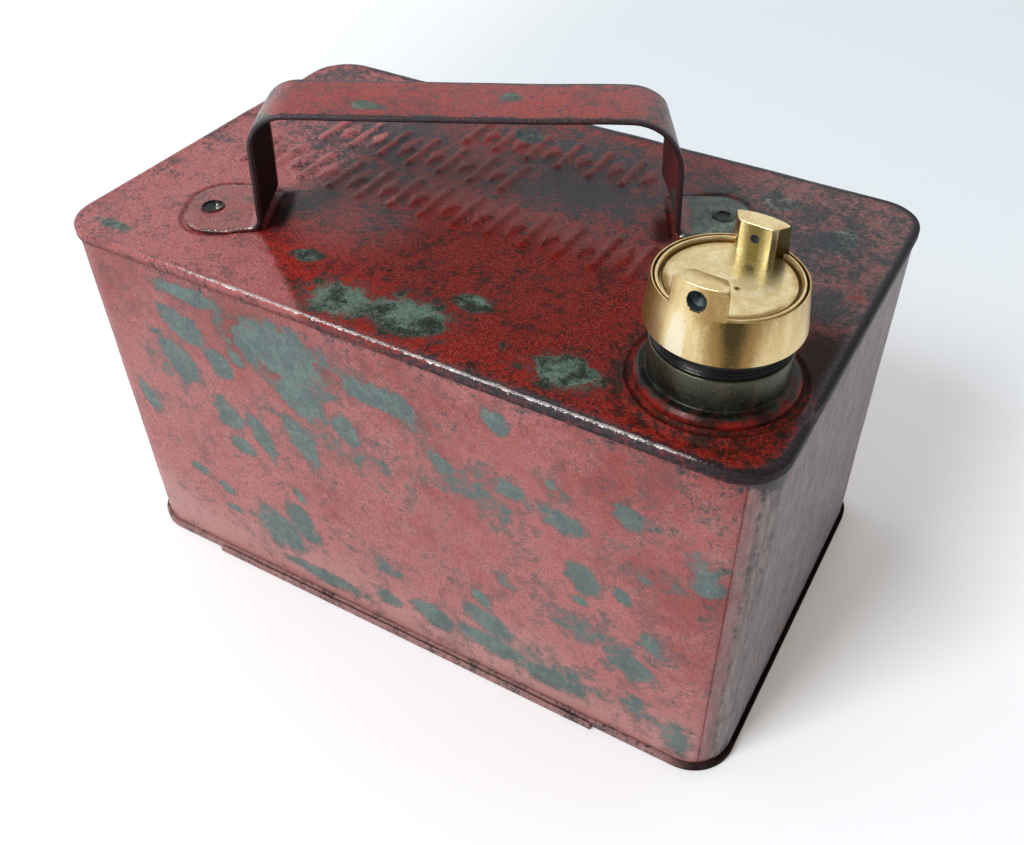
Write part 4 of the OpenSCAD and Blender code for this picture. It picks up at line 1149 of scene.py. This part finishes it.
# Lumps of solder in the left rivet's mouth and by the right leg, in mm: where, and how wide
SOLDER_SPOTS = [(-102.0, -51.4, 1.5), (-103.6, -50.1, 0.9), (71.6, 22.4, 1.4), (69.6, 23.4, 1.0)]


def solder_piece(name, place, radius, height, base, material):
    """A lump of solder, low and uneven."""
    section = np.array([(1.0, -0.3), (0.97, 0.1), (0.8, 0.55), (0.5, 0.88), (0.2, 0.98), (0, 1.0)])
    section = section * np.array([radius, height]) + np.array([0, base])
    return turned_piece(name, section, place, material, "can", segments=40, wobble=0.35 * radius)


# Neck, seal and cap

def neck_pieces(steel, brass):
    zero = RIM_Z / MM
    section = rounded_section([
        (23, zero + 1.6, 0), (23, zero + 17.8, 0.3), (24, zero + 17.8, 0.5), (24, zero + 5.6, 0.8),
        (26.6, zero + 5.3, 1.8), (28.2, zero + 3.6, 1.8), (28.3, zero + 1.6, 0.4),
        (23, zero + 1.6, 0)], 8) * MM
    height = section[:, 1] - RIM_Z
    painted = 0.95 * (1 - smooth(height, 3.2 * MM, 8 * MM))
    polished = smooth(height, 13 * MM, 17 * MM)
    # Painted shade: dark in the crease above the shoulder and at the foot where the collar meets the top.
    shade_and_soot = 0.6 * np.exp(-((height - 5.4 * MM) / (1.2 * MM)) ** 2) + 0.5 * (1 - smooth(height, 1.6 * MM, 2.6 * MM))
    collar = turned_piece("neck_tube", section[:-1], NECK, steel, "can", ["neck_collar"],
                          {"painted": painted[:-1], "polished": polished[:-1], "shade_and_soot": shade_and_soot[:-1]},
                          192, closed=True, wobble=0.05 * MM)
    ring = rounded_section([
        (19.4, zero - 2.8, 0), (19.4, zero + 16.6, 0), (20, zero + 17.2, 0.2), (22.95, zero + 17.2, 0.3),
        (22.95, zero - 3.4, 0.3), (20, zero - 3.4, 0.2), (19.4, zero - 2.8, 0)], 3) * MM
    sleeve = turned_piece("thread_sleeve", ring[:-1], NECK, brass, "can",
                          ["neck_thread_ring"], None, 160, closed=True)
    pitch = 3.175 * MM
    thread = helix_piece("ring_thread", NECK, 19.45 * MM, 18.15 * MM, 0.75 * MM, 0.3 * MM,
                         (zero - 0.5) * MM, (zero + 15.5) * MM, pitch, 0.0, brass, "can")
    return collar, sleeve, thread


def seal_piece(material):
    low, high = MOUTH_Z / MM + 0.1, RIM_Z / MM + 26.4
    corners = [(18.3, low, 0), (23.0, low, 0.2), (23.35, low + 0.35, 0.2)]
    z = low + 0.6
    for _ in range(3):
        corners += [(23.45, z, 0.15), (22.95, z + 0.35, 0.15), (22.95, z + 0.7, 0.15), (23.45, z + 1.05, 0.15)]
        z += 1.15
    corners += [(23.5, z + 0.4, 0.2), (23.5, high - 0.4, 0.4), (23.1, high, 0.3), (18.3, high, 0)]
    section = rounded_section(corners, 3) * MM
    return turned_piece("seal_ring", section, NECK, material, "seal", ["cap_seal"], None,
                        160, closed=True)


def cap_section():
    """The cap's section, from the middle of its disc outward, down and into its hollow plug."""
    zero = RIM_Z / MM
    disc = zero + 39.8
    lip = zero + 41.1
    low = zero + 25.2
    face = [(radius, disc, 0) for radius in np.linspace(0, 20.3, 30)]
    return face + [(20.9, disc, 0.3), (21.4, disc - 0.55, 0.15), (21.9, disc - 0.55, 0.15),
            (22.05, disc + 0.2, 0.2), (22.5, lip - 0.05, 0.45), (23.3, lip - 0.05, 0.45),
            (23.75, disc + 0.2, 0.2), (23.85, disc - 0.35, 0.12), (24.1, disc - 0.35, 0.12),
            (24.2, lip - 0.15, 0.15), (24.7, lip, 0.25), (26.5, low + 0.4, 0.3), (26.2, low, 0.2),
            (24, low, 0.2), (24, zero + 26.6, 0.2), (17.9, zero + 26.6, 0.2), (17.9, zero + 3, 0),
            (16.9, zero + 2, 0), (15, zero + 2, 0.3), (15, disc - 6.2, 0.5), (11, disc - 3.2, 0.5),
            (0, disc - 3.2, 0)]


def skirt_reflection_bands(turn):
    """How brown the cap's outer side is painted, at a turn round it in degrees: painted reflection, in darker and
    brighter bands as its shine shows them.
    """
    level = np.full(len(turn), 0.36)
    for middle, width, strength in ((-150, 20, 0.45), (-105, 8, -0.52), (-65, 15, 0.74), (-24, 12, -0.1),
                                    (14, 10, 0.25)):
        level += strength * np.exp(-((turn - middle) / width) ** 2)
    return level


def cap_tarnish_and_reflection(points):
    """Where the cap is brown: in its channels, in its hidden plug and in a pit on its disc. It also carries painted
    reflection bands on the skirt, a painted highlight on the skirt's lower edge and painted shade round the disc's
    edge.
    """
    radius = np.hypot(points[:, 0] - NECK[0], points[:, 1] - NECK[1])
    height = points[:, 2] - RIM_Z
    turn = np.degrees(np.arctan2(points[:, 1] - NECK[1], points[:, 0] - NECK[0]))
    near = smooth(NECK[1] - points[:, 1], 2 * MM, 12 * MM)
    channel = np.maximum(np.exp(-((radius - (21.65 + 0.5 * near) * MM) / (0.55 * MM)) ** 2),
                         np.exp(-((radius - (23.97 - 0.2 * near) * MM) / (0.28 * MM)) ** 2)) * (height > 39 * MM)
    hidden = smooth(25 * MM - height, 0, 0.5 * MM)
    skirt = smooth(radius, 24.3 * MM, 24.8 * MM) * (height > 25.4 * MM)
    pit = np.exp(-(((points[:, 0] - 120.4 * MM) ** 2 + (points[:, 1] + 55.6 * MM) ** 2) / (1.1 * MM) ** 2))
    # Painted highlight on the skirt's lower edge; painted shade round the disc's edge.
    low_edge = 0.5 * smooth(26 * MM - height, 0, 0.6 * MM) * skirt
    shade = (0.3 + 0.3 * near) * smooth(radius, 17.5 * MM, 20.5 * MM) * (height > 39 * MM) * (radius < 21 * MM)
    return -low_edge + np.maximum.reduce([1.0 * channel, 0.6 * hidden, skirt_reflection_bands(turn) * skirt, shade,
                                          pit * (height > 39 * MM) * 1.2 - 0.15])


def cap_pieces(brass):
    section = rounded_section(cap_section(), 5) * MM
    body = turned_piece("cap_body", section, NECK, brass, "cap", ["filler_cap"],
                        segments=224, point_fields={"tarnish_and_reflection": cap_tarnish_and_reflection})
    zero = RIM_Z / MM
    thread = helix_piece("plug_thread", NECK, 17.85 * MM, 19.15 * MM, 0.75 * MM, 0.3 * MM,
                         (zero + 3.6) * MM, (zero + 16) * MM, 3.175 * MM,
                         math.radians(360 * ((3.6 + 0.5) / 3.175 + 0.5)), brass, "cap")
    lugs = [lug_piece("front_lug", math.radians(266), (2.9, 0.9), (0.5, 0.3), 0.45, brass),
            lug_piece("rear_lug", math.radians(86), (1.1, 1.9), (0.3, 1.15), 0.1, brass)]
    return body, thread, *lugs


def solid(name, points, faces):
    """A closed mesh object that a boolean modifier reads."""
    mesh = bpy.data.meshes.new(name)
    mesh.from_pydata([tuple(point) for point in points], [], [tuple(face) for face in faces])
    mesh.update()
    thing = bpy.data.objects.new(name, mesh)
    bpy.context.scene.collection.objects.link(thing)
    return thing


def stacked(rings):
    """Points and faces of a closed skin through rings of equal counts, each anticlockwise."""
    rings = np.array(rings)
    rows, count = rings.shape[:2]
    faces = [tuple(face) for face in grid_faces(rows, count, wrap_columns=True)]
    faces.append(tuple(range(count))[::-1])
    faces.append(tuple(range((rows - 1) * count, rows * count)))
    return rings.reshape(-1, 3), faces


def lug_outline(radius, side_limits, directions):
    """A lug's level section in mm: flat inside, splayed sides, the cap's radius outside, edges eased."""
    middle = 19.5
    walls = [((-1, 0), -16.0), ((-0.707, 0.707), -7.354), ((-0.707, -0.707), -7.354),
             ((-0.499, 0.867), -2.65), ((-0.499, -0.867), -2.65),
             ((0, 1), side_limits[0]), ((0, -1), side_limits[1])]
    along = directions[:, 0] * middle
    reaches = [np.sqrt(along ** 2 + radius ** 2 - middle ** 2) - along]
    for normal, limit in walls:
        slope = directions @ np.array(normal)
        room = limit - normal[0] * middle
        reaches.append(np.where(slope > 0.02, room / np.maximum(slope, 0.02), 1e3))
    reach = np.sum([r ** -70.0 for r in reaches], axis=0) ** (-1 / 70.0)
    return np.stack([middle + directions[:, 0] * reach, directions[:, 1] * reach], -1)


def lug_piece(name, turn, corner_radii, cheek_shades, top_shade, brass):
    """One drilled lug, flush with the cap's cone outside and flat inside."""
    zero = RIM_Z / MM
    top, lip, ease = zero + 50.8, zero + 41.1, 0.4
    angles = np.arange(300) * 2 * math.pi / 300
    directions = np.stack([np.cos(angles), np.sin(angles)], -1)
    rise = np.concatenate([[lip - 2.6, lip - 0.4, lip - 0.3], np.linspace(lip, top - 3.1, 8)[:-1],
                           np.linspace(top - 3.1, top - ease, 16)[:-1],
                           top - ease + ease * np.sin(np.linspace(0, math.pi / 2, 7))])
    rings = []
    for z in rise:
        flush = 0.012 if z > lip - 0.35 else -0.1
        radius = 24.7 - 1.8 / 15.5 * (z - lip) + flush
        limits = []
        for corner in corner_radii:
            over = np.clip(z - (top - corner), 0, corner)
            limits.append(9.95 - corner + math.sqrt(corner ** 2 - over ** 2))
        outline = lug_outline(radius, limits, directions)
        shrink = ease - math.sqrt(max(ease ** 2 - max(z - (top - ease), 0) ** 2, 0))
        rings.append((outline, shrink, z))
    rings.append((rings[-1][0], ease + 0.12, top))
    solid_rings = []
    for outline, shrink, z in rings:
        centre = outline.mean(axis=0)
        away = outline - centre
        away *= (1 - shrink / np.linalg.norm(away, axis=1))[:, None]
        solid_rings.append(np.concatenate([centre + away, np.full((len(outline), 1), z)], 1) * MM)
    block = solid(name + "_block", *stacked(solid_rings))

    hole = [(10, 1.5), (20, 1.5), (21.7, 3.2), (30, 3.2)]
    turns = np.arange(56) * 2 * math.pi / 56
    bore = solid(name + "_bore", *stacked([np.stack([np.full(56, x), radius * np.cos(turns),
                                                     zero + 45.8 + radius * np.sin(turns)], -1) * MM
                                           for x, radius in hole]))
    modifier = block.modifiers.new("drill", "BOOLEAN")
    modifier.operation = "DIFFERENCE"
    modifier.object = bore
    modifier.solver = "EXACT"
    depsgraph = bpy.context.evaluated_depsgraph_get()
    mesh = bpy.data.meshes.new_from_object(block.evaluated_get(depsgraph))
    for thing in (block, bore):
        bpy.data.objects.remove(thing)
    mesh.name = name
    place = np.zeros(3 * len(mesh.vertices))
    mesh.vertices.foreach_get("co", place)
    place = place.reshape(-1, 3)
    from_bore = np.hypot(place[:, 1], place[:, 2] - (zero + 45.8) * MM)
    in_bore = (from_bore < 1.6 * MM) | ((from_bore < 3.3 * MM) & (place[:, 0] > 19 * MM))
    # Painted reflection bands carried from the skirt onto the lug's outer face, and painted shade on the splayed sides
    # away from the light.
    outer = skirt_reflection_bands(np.degrees(np.arctan2(place[:, 1], place[:, 0]) + turn) % 360 - 360)
    outer = np.minimum(outer, 0.5) * smooth(place[:, 0], 20 * MM, 21.5 * MM)
    from_middle = np.abs(place[:, 1])
    inside = (0.2 + 0.75 * np.exp(-(from_middle / (3.6 * MM)) ** 2)) * (place[:, 0] < 16.4 * MM)
    cheek_shade = smooth(from_middle - 0.5755 * place[:, 0], -3.5 * MM, -3.2 * MM) * smooth(place[:, 0], 17.2 * MM, 17.9 * MM)
    cheek_shade *= np.where(place[:, 1] > 0, cheek_shades[0], cheek_shades[1])
    below_top = 1 - smooth(place[:, 2], (top - 0.45) * MM, (top - 0.1) * MM)
    pale = (1 - smooth(place[:, 0], 16.8 * MM, 18 * MM)) * below_top
    tarnish_and_reflection = np.maximum(outer, np.maximum(inside, cheek_shade)) * below_top
    tarnish_and_reflection += (1 - below_top) * top_shade * smooth(20.5 * MM - place[:, 0], 0, 2.5 * MM)
    for key, values in (("tarnish_and_reflection", np.where(in_bore, 1.9, tarnish_and_reflection)), ("pale", np.where(in_bore, 0, pale))):
        layer = mesh.attributes.new(key, "FLOAT", "POINT")
        layer.data.foreach_set("value", values.astype(np.float32))
    mesh.transform(Matrix.Translation((NECK[0], NECK[1], 0)) @ Matrix.Rotation(turn, 4, "Z"))
    mesh.polygons.foreach_set("use_smooth", [True] * len(mesh.polygons))
    mesh.set_sharp_from_angle(angle=math.radians(38))
    mesh.materials.clear()
    mesh.materials.append(brass)
    piece = bpy.data.objects.new(name, mesh)
    bpy.context.scene.collection.objects.link(piece)
    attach(piece, "cap")
    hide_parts("filler_cap")
    return piece


def add_floor():
    size = 4.0
    points = [(-size, -size, 0), (size, -size, 0), (size, size, 0), (-size, size, 0)]
    mesh = bpy.data.meshes.new("studio_floor")
    mesh.from_pydata(points, [], [(0, 1, 2, 3)])
    mesh.materials.append(floor_material())
    floor = bpy.data.objects.new("studio_floor", mesh)
    bpy.context.scene.collection.objects.link(floor)


def repaint(node, material):
    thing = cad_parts[node]
    thing.data.materials.clear()
    thing.data.materials.append(material)


add_camera()
add_world()
add_lights()
add_floor()

wall_paint = worn_paint("wall_paint", srgb(150, 66, 60), srgb(175, 100, 97), srgb(112, 68, 68), srgb(92, 66, 70),
                        (srgb(96, 124, 118), srgb(78, 98, 96)), srgb(58, 56, 64), 0.42, 0.45, 0.22, 0.5)
top_paint = worn_paint("top_paint", srgb(122, 24, 15), srgb(174, 86, 86), srgb(50, 16, 14), srgb(38, 20, 22),
                       (srgb(96, 122, 108), srgb(34, 52, 44)), srgb(42, 49, 59), 0.25, 0.4, 0.24, 0.32)
base_paint = worn_paint("base_paint", srgb(132, 62, 60), srgb(168, 108, 106), srgb(80, 46, 48), srgb(70, 50, 54),
                        (srgb(100, 108, 108), srgb(64, 70, 74)), srgb(44, 40, 46), 0.48, 0.3, 0.2, 0.4)
handle_paint = worn_paint("handle_paint", srgb(144, 40, 34), srgb(150, 80, 78), srgb(78, 32, 32), srgb(64, 36, 40),
                          (srgb(92, 118, 104), srgb(56, 72, 64)), srgb(30, 34, 44), 0.3, 0.5, 0.18, 0.35)
brass = brass_material()
dull_brass = dull_brass_material()
steel = neck_material()

wall_piece(wall_paint)
top_pieces(top_paint)
base_pieces(base_paint)
handle_piece(handle_paint)
rivet_piece("left_rivet", "handle_rivet_left", RIVETS[0], 4.1, steel)
rivet_piece("right_rivet", "handle_rivet_right", RIVETS[1], 2.6, steel)
solder = dull_steel_material("solder", srgb(214, 212, 206), srgb(110, 104, 98), 0.22)
for index, (x, y, radius) in enumerate(SOLDER_SPOTS):
    solder_piece(f"solder_{index}", (x * MM, y * MM), radius * MM, 0.7 * MM, FOOT_Z, solder)
neck_pieces(steel, dull_brass)
seal_piece(rubber_material())
cap_pieces(brass)
plate_steel = dull_steel_material("tinned_steel", srgb(150, 150, 148), srgb(104, 102, 98), 0.35)
repaint("rivet_plate_left", plate_steel)
repaint("rivet_plate_right", plate_steel)
